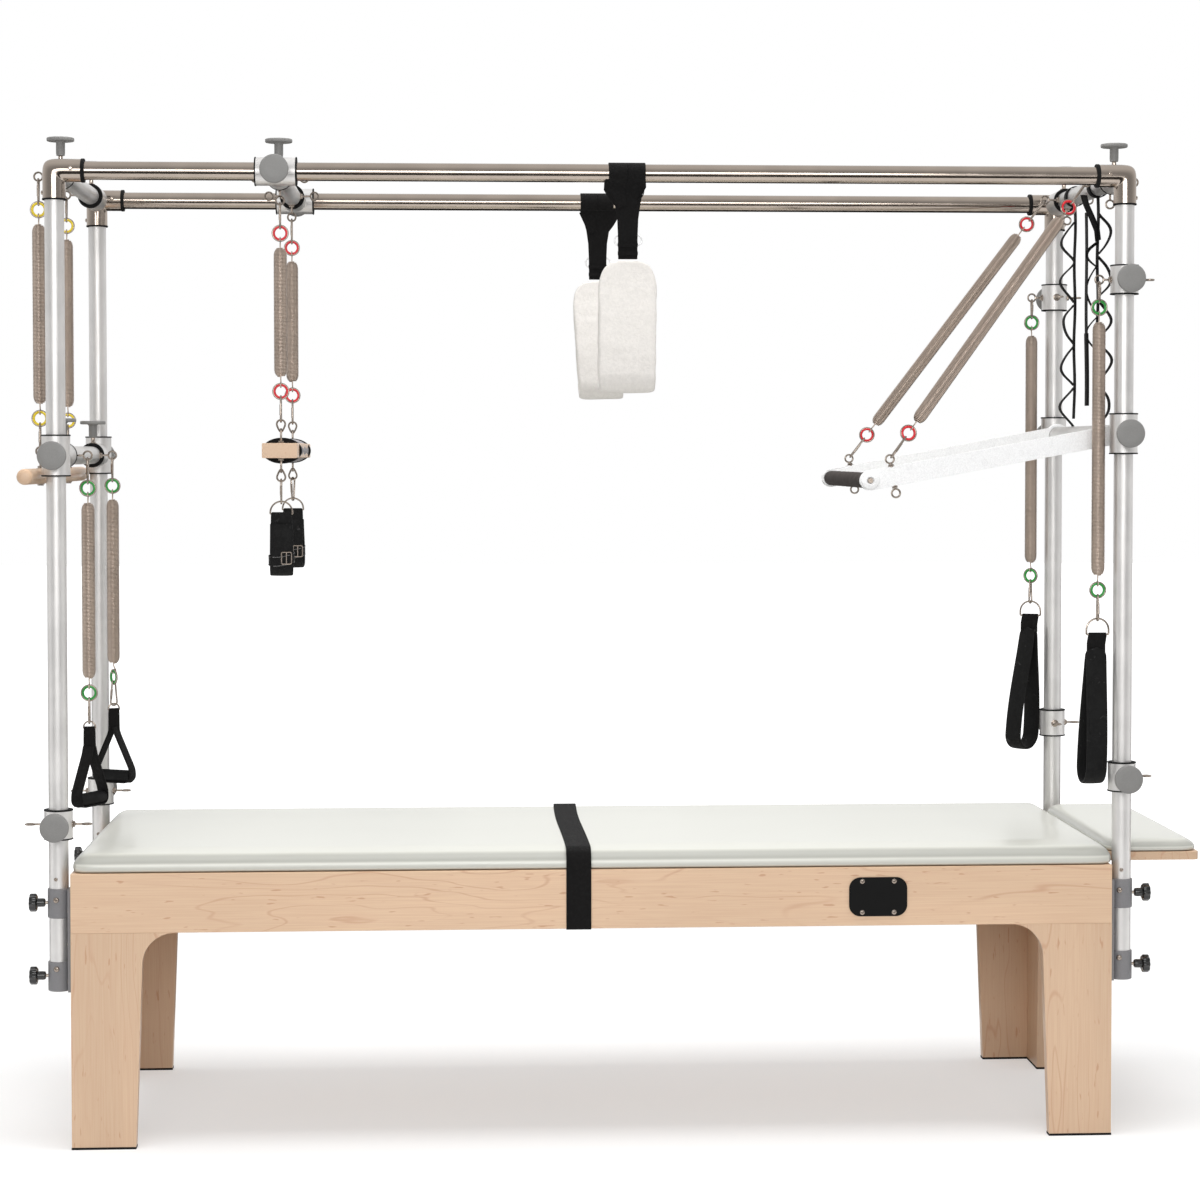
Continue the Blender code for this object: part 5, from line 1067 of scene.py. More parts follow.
def make_corners(knob_edge):
    """Corner elbows with their sleeves, end rings and clamp knobs."""
    for name, end, side in CORNERS:
        name += "_corner"
        corner = Vector((end * POST_X, side * POST_Y, TOP_HEIGHT))
        elbow, sleeve, rings, knob = Form(), Form(), Form(), Form()
        elbow.elbow(corner, end, ELBOW_RADIUS, ELBOW_LEG)
        for offset, direction, radius, height in (
                ((-end * 0.037, -ELBOW_RADIUS, 0.003), -Y_AXIS, 0.0048, 0.0026),
                ((-end * 0.046, 0.012, ELBOW_RADIUS - 0.004), Z_AXIS, 0.0045, 0.0036),
                ((end * ELBOW_RADIUS, 0, -0.046), end * X_AXIS, 0.0045, 0.0032)):
            elbow.screw(corner + Vector(offset), direction, radius, height)
        across = axle(corner, -side * Y_AXIS, Z_AXIS)
        tip = POST_Y - SLEEVE_INNER_Y
        sleeve.lathe(across, [(0.0200, 0.004), (0.0225, 0.012), (0.0262, 0.022), (SLEEVE_RADIUS, 0.027),
                              (SLEEVE_RADIUS, tip - 0.001), (SLEEVE_RADIUS - 0.001, tip)])
        tee_knob(elbow, knob, corner - side * (POST_Y - TEE_Y) * Y_AXIS, knob_edge)
        end_rings(rings, axle(corner, -Z_AXIS, Y_AXIS), ELBOW_RADIUS, POST_RADIUS, [ELBOW_LEG])
        end_rings(rings, axle(corner, -end * X_AXIS, Y_AXIS), ELBOW_RADIUS, TUBE_RADIUS, [ELBOW_LEG], 0.0072)
        end_rings(rings, across, SLEEVE_RADIUS, CROSS_RADIUS, [tip], SLEEVE_RING_WIDTH)
        piece(name + "_elbow", elbow, "frame", "polished_steel", name, angle=50)
        piece(name + "_sleeve", sleeve, "frame", "satin_aluminium")
        piece(name + "_rings", rings, "frame", "black_rubber")
        piece(name + "_knob", knob, "frame", "knob_grey")


def star_knob(form, place):
    """An eight-lobed knob on its neck."""
    form.lathe(place, [(0.0060, 0.0285), (0.0085, 0.0300), (0.0092, 0.0340), (0.0092, 0.0450),
                       (0.0110, 0.0470)], SMALL_ROUND)
    rows = []
    for reach, share in ((0.0455, 0.80), (0.0470, 0.96), (0.0490, 1.0), (0.0585, 1.0), (0.0605, 0.95),
                         (STAR_REACH, 0.78), (STAR_REACH - 0.0012, 0.5), (STAR_REACH - 0.0016, 0.1)):
        row = []
        for angle in turns(80):
            lobe = share * (STAR_RADIUS + (STAR_LOBE * math.cos(8 * angle) if share > 0.6 else 0))
            row.append(form.vert(place @ Vector((lobe * math.cos(angle), lobe * math.sin(angle), reach))))
        rows.append(row)
    form.skin(rows)


def make_base_brackets():
    """Base brackets with their sleeves, screws and star knobs."""
    for name, end, side in CORNERS:
        name += "_base_bracket"
        body, stars, bright = Form(), Form(), Form()
        inner = HALF_LENGTH + SEAM
        edges = sorted((end * inner, end * (inner + BASE_PLATE_THICKNESS)))
        y = side * POST_Y
        body.block((edges[0], y - BASE_PLATE_HALF, BASE_PLATE_LOW),
                   (edges[1], y + BASE_PLATE_HALF, BASE_PLATE_HIGH))
        for height in CLAMP_SLEEVES:
            centre = Vector((end * POST_X, y, height))
            body.collar(axle(centre, Z_AXIS, Y_AXIS), CLAMP_SLEEVE_RADIUS, POST_RADIUS + 0.0004,
                        -CLAMP_SLEEVE_HALF, CLAMP_SLEEVE_HALF, 0.0012)
            outward = axle(centre, end * X_AXIS, Z_AXIS)
            bright.rod(outward, 0.0032, 0.022, 0.032, sides=SMALL_ROUND)
            star_knob(stars, outward)
            lean = 0.37 if end == RIGHT else 0.13
            facing = Vector((-math.sin(lean), -math.cos(lean), 0))
            spot = centre + CLAMP_SLEEVE_RADIUS * facing
            spot.z += 0.008 if height > 0.45 else 0.017
            bright.screw(spot, facing, 0.0060, 0.0032)
        for height in BASE_PLATE_SCREWS:
            bright.screw((edges[1] if end > 0 else edges[0], y - 0.024, height), end * X_AXIS, 0.0040, 0.0015)
        piece(name + "_body", body, "frame", "bracket_grey", name, bevel=0.0006)
        piece(name + "_star_knobs", stars, "frame", "black_gloss")
        piece(name + "_screws", bright, "frame", "bright_steel")


def clamp_collar(shells, centre, axis, half, bore, outward, knob_edge):
    """A clamp collar with black end rings and a disc knob on its outer side."""
    body, rings, knobs, bright = shells
    side = Y_AXIS if abs(axis.y) < 0.5 else Z_AXIS
    place = axle(centre, axis, side)
    body.collar(place, COLLAR_RADIUS, bore, -half, half, 0.0008)
    end_rings(rings, place, COLLAR_RADIUS, bore, [0.0008 - half, half - 0.0008], 0.0030)
    bright.rod(axle(centre, outward, axis), 0.0048, COLLAR_RADIUS - 0.003, 0.042, sides=SMALL_ROUND)
    disc_knob(knobs, centre, outward, COLLAR_RADIUS + 0.0015, DISC_REACH, DISC_RADIUS, DISC_THICKNESS,
              knob_edge)


def make_cross_unit(name, body_name, x, z, axis, half, bore, eyes, knob_edge, sleeved=True):
    """A cross bar between two clamp collars, bare or with sleeves, T-knobs and eye bolts."""
    shells = [Form() for _ in range(4)]
    body, rings, knobs, bright = shells
    bar = axle((x, 0, z), Y_AXIS, -Z_AXIS)
    end = POST_Y - COLLAR_RADIUS + 0.004
    reach = SLEEVE_INNER_Y + 0.01 if sleeved else end
    body.rod(bar, CROSS_RADIUS, -reach, reach)
    for side in (FRONT, REAR):
        centre = Vector((x, side * POST_Y, z))
        clamp_collar(shells, centre, axis, half, bore, side * Y_AXIS, knob_edge)
        if not sleeved:
            continue
        sleeve = axle((x, 0, z), side * Y_AXIS, -Z_AXIS)
        body.rod(sleeve, SLEEVE_RADIUS, SLEEVE_INNER_Y, end, 0.0008)
        end_rings(rings, sleeve, SLEEVE_RADIUS, CROSS_RADIUS, [SLEEVE_INNER_Y], SLEEVE_RING_WIDTH)
        tee_knob(bright, knobs, Vector((x, side * TEE_Y, z)), knob_edge)
        for direction, reach in eyes:
            eye_bolt(bright, (x, side * EYE_Y, z), direction, CROSS_EYE_START, reach, Y_AXIS)
    piece(name + "_bar", body, body_name, "satin_aluminium", name)
    piece(name + "_rings", rings, body_name, "black_rubber")
    piece(name + "_knobs", knobs, body_name, "knob_grey")
    piece(name + "_hardware", bright, body_name, "bright_steel")


def make_post_collar(name, body_name, end, side, height, eyes, reach, knob_edge):
    """A clamp collar on a post, with its knob and eye bolts."""
    shells = [Form() for _ in range(4)]
    centre = Vector((end * POST_X, side * POST_Y, height))
    clamp_collar(shells, centre, Z_AXIS, COLLAR_HALF, POST_RADIUS + 0.0005, side * Y_AXIS, knob_edge)
    for direction, normal in eyes:
        eye_bolt(shells[3], centre, direction, COLLAR_RADIUS - 0.0005, reach, normal)
    piece(name + "_ring", shells[0], body_name, "satin_aluminium", name)
    piece(name + "_end_rings", shells[1], body_name, "black_rubber")
    piece(name + "_knob", shells[2], body_name, "knob_grey")
    piece(name + "_hardware", shells[3], body_name, "bright_steel")


def make_clamps(knob_edge):
    """Carriage, middle cross bars and post collars."""
    carriage_eyes = [(-X_AXIS, CROSS_EYE_REACH), (X_AXIS, CROSS_EYE_REACH), (-Z_AXIS, DOWN_EYE_REACH)]
    make_cross_unit("carriage", "carriage", CARRIAGE_X, TOP_HEIGHT, X_AXIS, 0.0435, TUBE_RADIUS + 0.0005,
                    carriage_eyes, knob_edge)
    make_cross_unit("left_mid_cross_bar", "left_lift", -POST_X, LEFT_MID, Z_AXIS, MID_COLLAR_HALF,
                    POST_RADIUS + 0.0005, [(X_AXIS, LIFT_EYE_REACH)], knob_edge)
    make_cross_unit("right_mid_cross_bar", "frame", POST_X, RIGHT_MID, Z_AXIS, MID_COLLAR_HALF,
                    POST_RADIUS + 0.0005, [], knob_edge, sleeved=False)
    for name, side in SIDES.items():
        make_post_collar(f"lower_left_collar_{name}", f"lower_left_{name}", LEFT, side, LOWER_LEFT[side],
                         [(X_AXIS, Z_AXIS), (-X_AXIS, Z_AXIS)], LEFT_COLLAR_EYE_REACH, knob_edge)
        spare = [(X_AXIS, Z_AXIS)] + ([(-Y_AXIS, Z_AXIS)] if side == REAR else [])
        make_post_collar(f"upper_right_collar_{name}", f"upper_right_{name}", RIGHT, side, UPPER_RIGHT,
                         [(-X_AXIS, Y_AXIS)] + spare, RIGHT_COLLAR_EYE_REACH, knob_edge)
        make_post_collar(f"lower_right_collar_{name}", f"lower_right_{name}", RIGHT, side,
                         LOWER_RIGHT[side], spare, RIGHT_COLLAR_EYE_REACH, knob_edge)


# Springs

def snap_hook(form, one, other, across):
    """A pear-shaped snap hook round the wires at two points, in the plane of across."""
    along = (other - one).normalized()
    across = (across - along * along.dot(across)).normalized()
    reach = (other - one).length
    narrow, wide, over = 0.0040, 0.0080, 0.0043
    place = plane(other, -along, across)
    outline = arc((reach + over - wide, 0), wide, -80, 80, 9) + arc((narrow - over, 0), narrow, 100, 260, 9)
    form.wire(laid(place, outline), WIRE, along.cross(across), closed=True)
    gate = [(reach * share, -(narrow + (wide - narrow) * share)) for share in (0.30, 0.78)]
    form.wire(laid(place, gate), WIRE * 1.35, along.cross(across))


def end_hook(form, ring_wire, coil_end, across, wire):
    """The bent end of a spring's wire: round the ring, then into the coil."""
    along = (coil_end - ring_wire).normalized()
    across = (across - along * along.dot(across)).normalized()
    radius = 0.0056
    place = plane(ring_wire, along, across)
    outline = arc((0, 0), radius, 300, 30, 16) + [(radius + 0.006, 0.0)]
    route = laid(place, outline) + [coil_end + 0.004 * along]
    form.wire(eased(route, 0.001, steps=1), wire / 2, along.cross(across))


def make_spring(name, body_name, colour_name, one, other, sizes, one_hook=HOOK_TO_RING, turn=0.0, bends=None):
    """A close-wound spring between two hook points, with its rings and snap hooks."""
    one, other = Vector(one), Vector(other)
    wire, outside = sizes.spring_wire, sizes.spring_outside
    along = (other - one).normalized()
    across = (Y_AXIS - along * along.dot(Y_AXIS)).normalized()
    turned = Matrix.Rotation(turn, 3, along) @ across
    rings = ((one + one_hook * along, 1, across), (other - HOOK_TO_RING * along, -1, turned))
    bright, sleeves, coil = Form(), Form(), Form()
    for centre, way, normal in rings:
        hook = one if way == 1 else other
        snap_hook(bright, hook, centre - way * SPRING_RING_RADIUS * along, normal)
        bright.torus(centre, *STEEL_RING, normal)
        sleeves.torus(centre, *COLOUR_RING, normal)
        end_hook(coil, centre + way * SPRING_RING_RADIUS * along,
                 centre + way * RING_TO_COIL * along, normal, wire)
    start = rings[0][0] + RING_TO_COIL * along
    end = rings[1][0] - RING_TO_COIL * along
    size = (end - start).length
    rounds = size / (wire * 1.008)
    full = (outside - wire) / 2
    place = seat(start, along)
    route = []
    for share in shares(round(rounds * SPRING_TURN_POINTS)):
        height = size * share
        angle = math.tau * rounds * share
        nearest = min(height, size - height)
        radius = full * (0.30 + 0.70 * math.sqrt(max(0.0, 1 - (1 - min(nearest / 0.017, 1.0)) ** 2)))
        route.append(place @ Vector((radius * math.cos(angle), radius * math.sin(angle), height)))
    coil.sweep(route, round_section(wire / 2, 8), along)
    for part, form, finish in (("coil", coil, "spring_steel"), ("sleeves", sleeves, "sleeve_" + colour_name),
                               ("hooks", bright, "bright_steel")):
        thing = piece(f"{name}_{part}", form, None if bends else body_name, finish,
                      name if part == "coil" else None, angle=70)
        if bends:
            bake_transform(thing)


def make_springs(sizes):
    """All ten springs."""
    lower = PIVOT + (ARM_LENGTH - ARM_EYE_INSET) * ARM_AXIS + ARM_EYE_REACH * ARM_UP
    shift = Vector((TABLE_X, 0, 0))
    for name, side in SIDES.items():
        y = side * EYE_Y
        for kind, body_name, shade, place, hook, turn in (
                ("roll_down", "roll_down", "yellow", (-POST_X - CROSS_EYE_REACH, y, TOP_HEIGHT),
                 HOOK_TO_RING, 0),
                ("trapeze", "trapeze", "red", (CARRIAGE_X, y, TOP_HEIGHT - DOWN_EYE_REACH), HOOK_TO_RING, 0),
                ("handle", "handle_" + name, "green", (LIFT_EYE_REACH - POST_X, y, LEFT_MID),
                 HOOK_TO_RING, 1.0),
                ("foot", "foot_" + name, "green",
                 (POST_X - RIGHT_COLLAR_EYE_REACH, side * POST_Y, UPPER_RIGHT), UPPER_HOOK_TO_RING, 0.6)):
            top = Vector(place) - EYE_RADIUS * Z_AXIS
            make_spring(f"{kind}_spring_{name}", body_name, shade, top, top - SPRING_DROPS[kind] * Z_AXIS,
                        sizes, hook, turn if side == REAR else 0)
        upper = Vector((POST_X - CROSS_EYE_REACH, y, TOP_HEIGHT))
        foot = Vector((lower.x, side * ARM_Y, lower.z))
        flat = Vector((foot.x - upper.x, 0, foot.z - upper.z)).normalized()
        upper += EYE_RADIUS * flat
        foot -= EYE_RADIUS * flat
        make_spring("push_spring_" + name, "push_bar", "red", upper, foot, sizes,
                    bends=(tuple(upper + shift), tuple(foot + shift)))


# Bars

def make_roll_down_bar():
    """The maple bar across the left end."""
    wood, bright = Form(), Form()
    x = -POST_X - CROSS_EYE_REACH
    radius, half = ROLL_DOWN_RADIUS, ROLL_DOWN_HALF
    tip = [(radius * 0.30, 0.0), (radius * 0.62, 0.0006), (radius * 0.85, 0.0024), (radius * 0.97, 0.0050),
           (radius, 0.0085)]
    profile = [(size, inset - half) for size, inset in tip]
    profile += [(size, half - inset) for size, inset in reversed(tip)]
    wood.lathe(axle((x, 0, ROLL_DOWN_HEIGHT), Y_AXIS, -Z_AXIS), profile)
    for y in (-EYE_Y, EYE_Y):
        root = Vector((x, y, ROLL_DOWN_HEIGHT))
        eye_bolt(bright, root, Z_AXIS, radius - 0.0006, 0.053, Y_AXIS)
        nut = axle(root, -Z_AXIS, X_AXIS)
        bright.rod(nut, 0.0085, radius - 0.001, radius + 0.0014, 0.0004, sides=SMALL_ROUND)
        bright.rod(nut, 0.0066, radius + 0.001, radius + 0.0040, 0.0008, sides=6)
    piece("roll_down_wood", wood, "roll_down", "maple_y", "roll_down_bar", angle=50)
    piece("roll_down_hardware", bright, "roll_down", "bright_steel")


def make_trapeze_bar():
    """The trapeze bar: board, padded middle, black bands and eye bolts."""
    board, pad, bands, bright = Form(), Form(), Form(), Form()
    x = CARRIAGE_X
    half = TRAPEZE_HALF
    place = plane((x, 0, TRAPEZE_HEIGHT), X_AXIS, Z_AXIS)
    board.prism(place, rounded_rectangle(half[0], half[2], 0.003, 4), -half[1], half[1])
    middle = axle((x, 0, TRAPEZE_HEIGHT), Y_AXIS, X_AXIS)
    turned = middle @ Matrix.Rotation(math.pi / 2, 4, "Z")
    profile = []
    for share in (2 * share - 1 for share in shares(40)):
        dent = 0.0010 * math.sin(9 * share) + 0.0006 * math.sin(23 * share)
        profile.append((PADDING_RADIUS + dent - 0.003 * abs(share) ** 12, PADDING_HALF * share))
    pad.lathe(turned, profile, squash=PADDING_SQUASH)
    for side in (FRONT, REAR):
        start = PADDING_HALF - 0.002
        ends = [(0.036, start), (0.0415, start + 0.002), (0.043, start + 0.006), (0.043, start + 0.021),
                (0.0415, start + 0.026), (0.036, start + 0.028)]
        bands.lathe(turned, [(radius, side * height) for radius, height in ends], squash=BAND_SQUASH)
        for up in (Z_AXIS, -Z_AXIS):
            root = (x, side * EYE_Y, TRAPEZE_HEIGHT)
            eye_bolt(bright, root, up, half[2] - 0.0005, TRAPEZE_EYE_OFFSET, Y_AXIS, pointed=0.85)
    piece("trapeze_board", board, "trapeze", "maple_y", "trapeze_bar", bevel=0.0008)
    cushion = piece("trapeze_padding", pad, "trapeze", "pad_grey", subdivide=1)
    piece("trapeze_bands", bands, "trapeze", "webbing")
    piece("trapeze_hardware", bright, "trapeze", "bright_steel")


def make_push_bar():
    """The push-through bar: arms, hubs, end caps, eye bolts and foam grip."""
    arms, caps, bright, grip = Form(), Form(), Form(), Form()
    tip = PIVOT + ARM_LENGTH * ARM_AXIS
    root = PIVOT + (ARM_LENGTH - ARM_EYE_INSET) * ARM_AXIS
    face = ARM_THICKNESS / 2
    for side in (FRONT, REAR):
        y = side * ARM_Y
        place = plane((PIVOT.x, y, PIVOT.z), ARM_AXIS, ARM_UP)
        outline = arc((ARM_LENGTH, 0), ARM_HALF, -90, 90, 24) + arc((0, 0), 0.0235, 63, -63, 16)
        arms.prism(place, outline, -face, face)
        hub = axle((PIVOT.x, y, PIVOT.z), side * Y_AXIS, Z_AXIS)
        arms.collar(hub, HUB_RADIUS, HUB_BORE, -face - 0.0004, face + 0.0004, 0.001)
        end = axle((tip.x, y, tip.z), side * Y_AXIS, Z_AXIS)
        caps.lathe(end, [(radius, face + height) for radius, height in (
            (0.0190, -0.001), (0.0190, 0.0055), (0.0182, 0.0072), (0.0165, 0.008), (0.0085, 0.008),
            (0.0078, 0.0070), (0.0076, 0.0030), (0.001, 0.0030))])
        bright.lathe(end, [(radius, face + height) for radius, height in (
            (0.0060, 0), (0.0060, 0.0058), (0.0052, 0.0066), (0.0030, 0.0066), (0.0028, 0.0036))],
            SMALL_ROUND)
        for direction in (ARM_UP, -ARM_UP):
            eye_bolt(bright, (root.x, y, root.z), direction, ARM_HALF - 0.0006, ARM_EYE_REACH, Y_AXIS)
    bar = axle((tip.x, 0, tip.z), Y_AXIS, Z_AXIS)
    arms.rod(bar, 0.0125, -ARM_Y, ARM_Y, sides=SMALL_ROUND)
    reach = ARM_Y - face - 0.0008
    outer = PUSH_GRIP_RADIUS
    profile = [(outer - 0.0034, -reach), (outer - 0.0010, -reach), (outer, 0.0015 - reach)]
    profile += [(outer + 0.0002 * math.sin(step * 1.7), reach * (step / 15 - 1)) for step in range(1, 30)]
    profile += [(outer, reach - 0.0015), (outer - 0.0010, reach), (outer - 0.0034, reach)]
    grip.lathe(bar, profile, closed=True)
    piece("push_arms", arms, "push_bar", "white_paint", "push_through_bar", bevel=0.0012)
    piece("push_end_caps", caps, "push_bar", "white_paint")
    piece("push_hardware", bright, "push_bar", "bright_steel")
    piece("push_foam_grip", grip, "push_grip", "foam", "push_grip")


# Loops and straps

def d_ring(form, hook, radius, straight, turn=0.0, wire=0.0017):
    """A D-ring hung by the middle of its round side. Returns the height of its flat side."""
    right = heading(turn)
    place = plane(hook, right, Z_AXIS)
    foot = -radius - straight
    outline = arc((0, -radius), radius, 0, 180, 16) + [(-radius, foot), (radius, foot)]
    sizes = [0] * 17 + [0.003, 0.003]
    route = eased(laid(place, outline), sizes, closed=True, steps=4)
    form.wire(route, wire, right.cross(Z_AXIS), closed=True)
    return hook.z + foot


def flat_strap(form, rows, thickness, side=X_AXIS):
    """A hanging webbing strip. Each row is (x, y, z, half width)."""
    route = [Vector(row[:3]) for row in rows]

    def section(index):
        return strap_section(2 * rows[index][3], thickness)

    form.sweep(route, section, side)


def make_hand_loops():
    """Hand loops on the left springs."""
    for name, side in SIDES.items():
        straps, ring, grip = Form(), Form(), Form()
        x, y = LIFT_EYE_REACH - POST_X, side * EYE_Y
        facing = 0.0 if side == FRONT else 0.35
        flat = d_ring(ring, Vector((x, y, HANDLE_HOOK)), *HANDLE_RING, facing)
        top = HANDLE_HEIGHT + 0.115
        rows = [(x, y, flat + 0.0035, 0.0120), (x, y, flat, 0.0128), (x, y, flat - 0.012, 0.0132),
                (x, y, top + 0.006, 0.0134), (x, y, top - 0.010, 0.0138)]
        flat_strap(straps, rows, 0.0056, heading(facing))
        right = heading(HANDLE_TURN[side])
        place = plane((x, y, HANDLE_HEIGHT), right, Z_AXIS)
        half, neck = HANDLE_HALF, HANDLE_NECK
        outline = [(neck, 0.113), (neck + 0.004, 0.098), (half, 0.016), (half + 0.0005, -0.004),
                   (half - 0.010, -0.0135), (0.010 - half, -0.0135), (-half - 0.0005, -0.004), (-half, 0.016),
                   (-neck - 0.004, 0.098), (-neck, 0.113)]
        sizes = [0, 0.02, 0.014, 0.010, 0.010, 0.010, 0.010, 0.014, 0.02, 0]
        route = eased(laid(place, outline), sizes, steps=5)
        straps.sweep(route, strap_section(0.028, 0.0034), right.cross(Z_AXIS))
        along = axle((x, y, HANDLE_HEIGHT), right, Z_AXIS)
        profile = [(0.0105, -0.0455), (0.0135, -0.0450), (0.0145, -0.0425), (0.0147, -0.020), (0.0147, 0.020),
                   (0.0145, 0.0425), (0.0135, 0.0450), (0.0105, 0.0455)]
        grip.lathe(along, profile)
        piece("hand_loop_strap_" + name, straps, "handle_" + name, "webbing", "hand_loop_" + name, angle=60)
        piece("hand_loop_ring_" + name, ring, "handle_" + name, "bright_steel")
        piece("hand_loop_grip_" + name, grip, "handle_" + name, "black_rubber")


def loop_route(top, length_down, depth, pinch, yaw, x, y, lean=0.0, steps=14):
    """Centre line of a hanging band: pinched at the top and round at the bottom."""
    radius = depth / 2
    foot = top - length_down + radius
    side = [(pinch + (radius - pinch) * smooth_step(0.0, 0.95, share) ** 0.8, top - (top - foot) * share)
            for share in shares(8)]
    angles = [math.pi * (step + 0.5) / steps for step in range(steps)]
    points = side + [(radius * math.cos(angle), foot - radius * math.sin(angle)) for angle in angles]
    points += [(-width, height) for width, height in reversed(side)]
    across = Vector((math.sin(yaw), math.cos(yaw), 0))
    route = []
    for width, height in points:
        share = (top - height) / length_down
        route.append(Vector((x + lean * share, y, height)) + width * across)
    return route


def make_foot_loops():
    """Padded foot loops on the right springs."""
    for name, side in SIDES.items():
        band, ring, neck = Form(), Form(), Form()
        x, y = POST_X - RIGHT_COLLAR_EYE_REACH, side * POST_Y
        yaw = -0.08 if side == FRONT else 0.87
        lean = -0.009 if side == FRONT else -0.018
        facing = heading(-yaw)
        turn = 0.0 if side == FRONT else -0.35
        flat = d_ring(ring, Vector((x, y, FOOT_HOOK)), *FOOT_RING, turn, 0.0021)
        middle = x - 0.003
        rows = [(x, y, flat + 0.004, 0.0190), (x, y, flat - 0.001, 0.0202), (middle, y, flat - 0.02, 0.0204),
                (middle, y, FOOT_LOOP_TOP - 0.002, 0.0204)]
        flat_strap(neck, rows, 0.0062, heading(turn))
        route = loop_route(FOOT_LOOP_TOP + 0.011, FOOT_LOOP_LENGTH, FOOT_LOOP_DEPTH, 0.0042, yaw, middle, y,
                           lean)
        count = len(route)

        def section(index):
            edge = min(index, count - 1 - index) / 8
            width = FOOT_LOOP_WIDTH + 0.0010 * smooth_step(0.0, 0.35, edge)
            return strap_section(width, 0.0062, crown=0.0006)

        band.sweep(route, section, facing)
        if side == FRONT:
            outer = [point + Vector((0, -0.0042, 0)) for point in reversed(route[-9:-1])]
            band.sweep(outer[1:6], strap_section(0.036, 0.0018), facing)
        pad = piece("foot_loop_band_" + name, band, "foot_" + name, "neoprene", "foot_loop_" + name,
                    angle=60, subdivide=1)
        piece("foot_loop_neck_" + name, neck, "foot_" + name, "webbing", angle=60)
        piece("foot_loop_ring_" + name, ring, "foot_" + name, "bright_steel")


def make_cuffs():
    """Ankle cuffs under the trapeze bar."""
    for name, side in SIDES.items():
        cuff, edges, steel = Form(), Form(), Form()
        body_name = "cuff_" + name
        x, y = CARRIAGE_X, side * EYE_Y
        hook = Vector((x, y, CUFF_HOOK))
        ring_top = hook - 0.043 * Z_AXIS
        snap_hook(steel, hook, ring_top, Y_AXIS if side == FRONT else Vector((0.5, 1, 0)))
        flat = d_ring(steel, ring_top, *CUFF_RING, 0.0, 0.0019)
        rows = [(x, y, flat + 0.0035, 0.0205), (x, y, flat, 0.0228), (x, y, flat - 0.03, 0.0236),
                (x, y, CUFF_HOOK - 0.110, 0.0236), (x, y, CUFF_HOOK - 0.140, 0.0230)]
        flat_strap(cuff, rows, 0.0060)
        route = loop_route(CUFF_HOOK - 0.092, CUFF_LENGTH, CUFF_DEPTH, 0.004, 0.12 * side, x, y)
        cuff.sweep(route, strap_section(CUFF_WIDTH, 0.0048, crown=0.0008), X_AXIS)
        lower = CUFF_HOOK - 0.150
        wrap = [(x + 0.0265 * math.cos(angle), y + 0.0235 * math.sin(angle),
                 lower - 0.016 + 0.006 * math.sin(angle + 0.6)) for angle in turns(28)]
        cuff.sweep([Vector(point) for point in wrap], strap_section(0.019, 0.0024), Z_AXIS, closed=True)
        for offset in (-0.0095, 0.0095):
            line = [Vector((x + (a - x) * 1.05, y + (b - y) * 1.06, c + offset)) for a, b, c in wrap]
            edges.wire(line, 0.0007, Z_AXIS, closed=True, sides=6)
        buckle = plane((x + 0.012, y - 0.027, lower - 0.014), X_AXIS, Z_AXIS)
        steel.wire(laid(buckle, rounded_rectangle(0.0105, 0.0125, 0.003, 4)), 0.0014, Y_AXIS, closed=True)
        pin = [buckle @ Vector((0, -0.0125, 0)), buckle @ Vector((0, 0.0125, 0.001))]
        steel.wire(pin, 0.0011, X_AXIS)
        pad = piece("cuff_pad_" + name, cuff, body_name, "neoprene", "ankle_cuff_" + name, angle=60)
        piece("cuff_edges_" + name, edges, body_name, "seam_thread")
        piece("cuff_hardware_" + name, steel, body_name, "bright_steel")


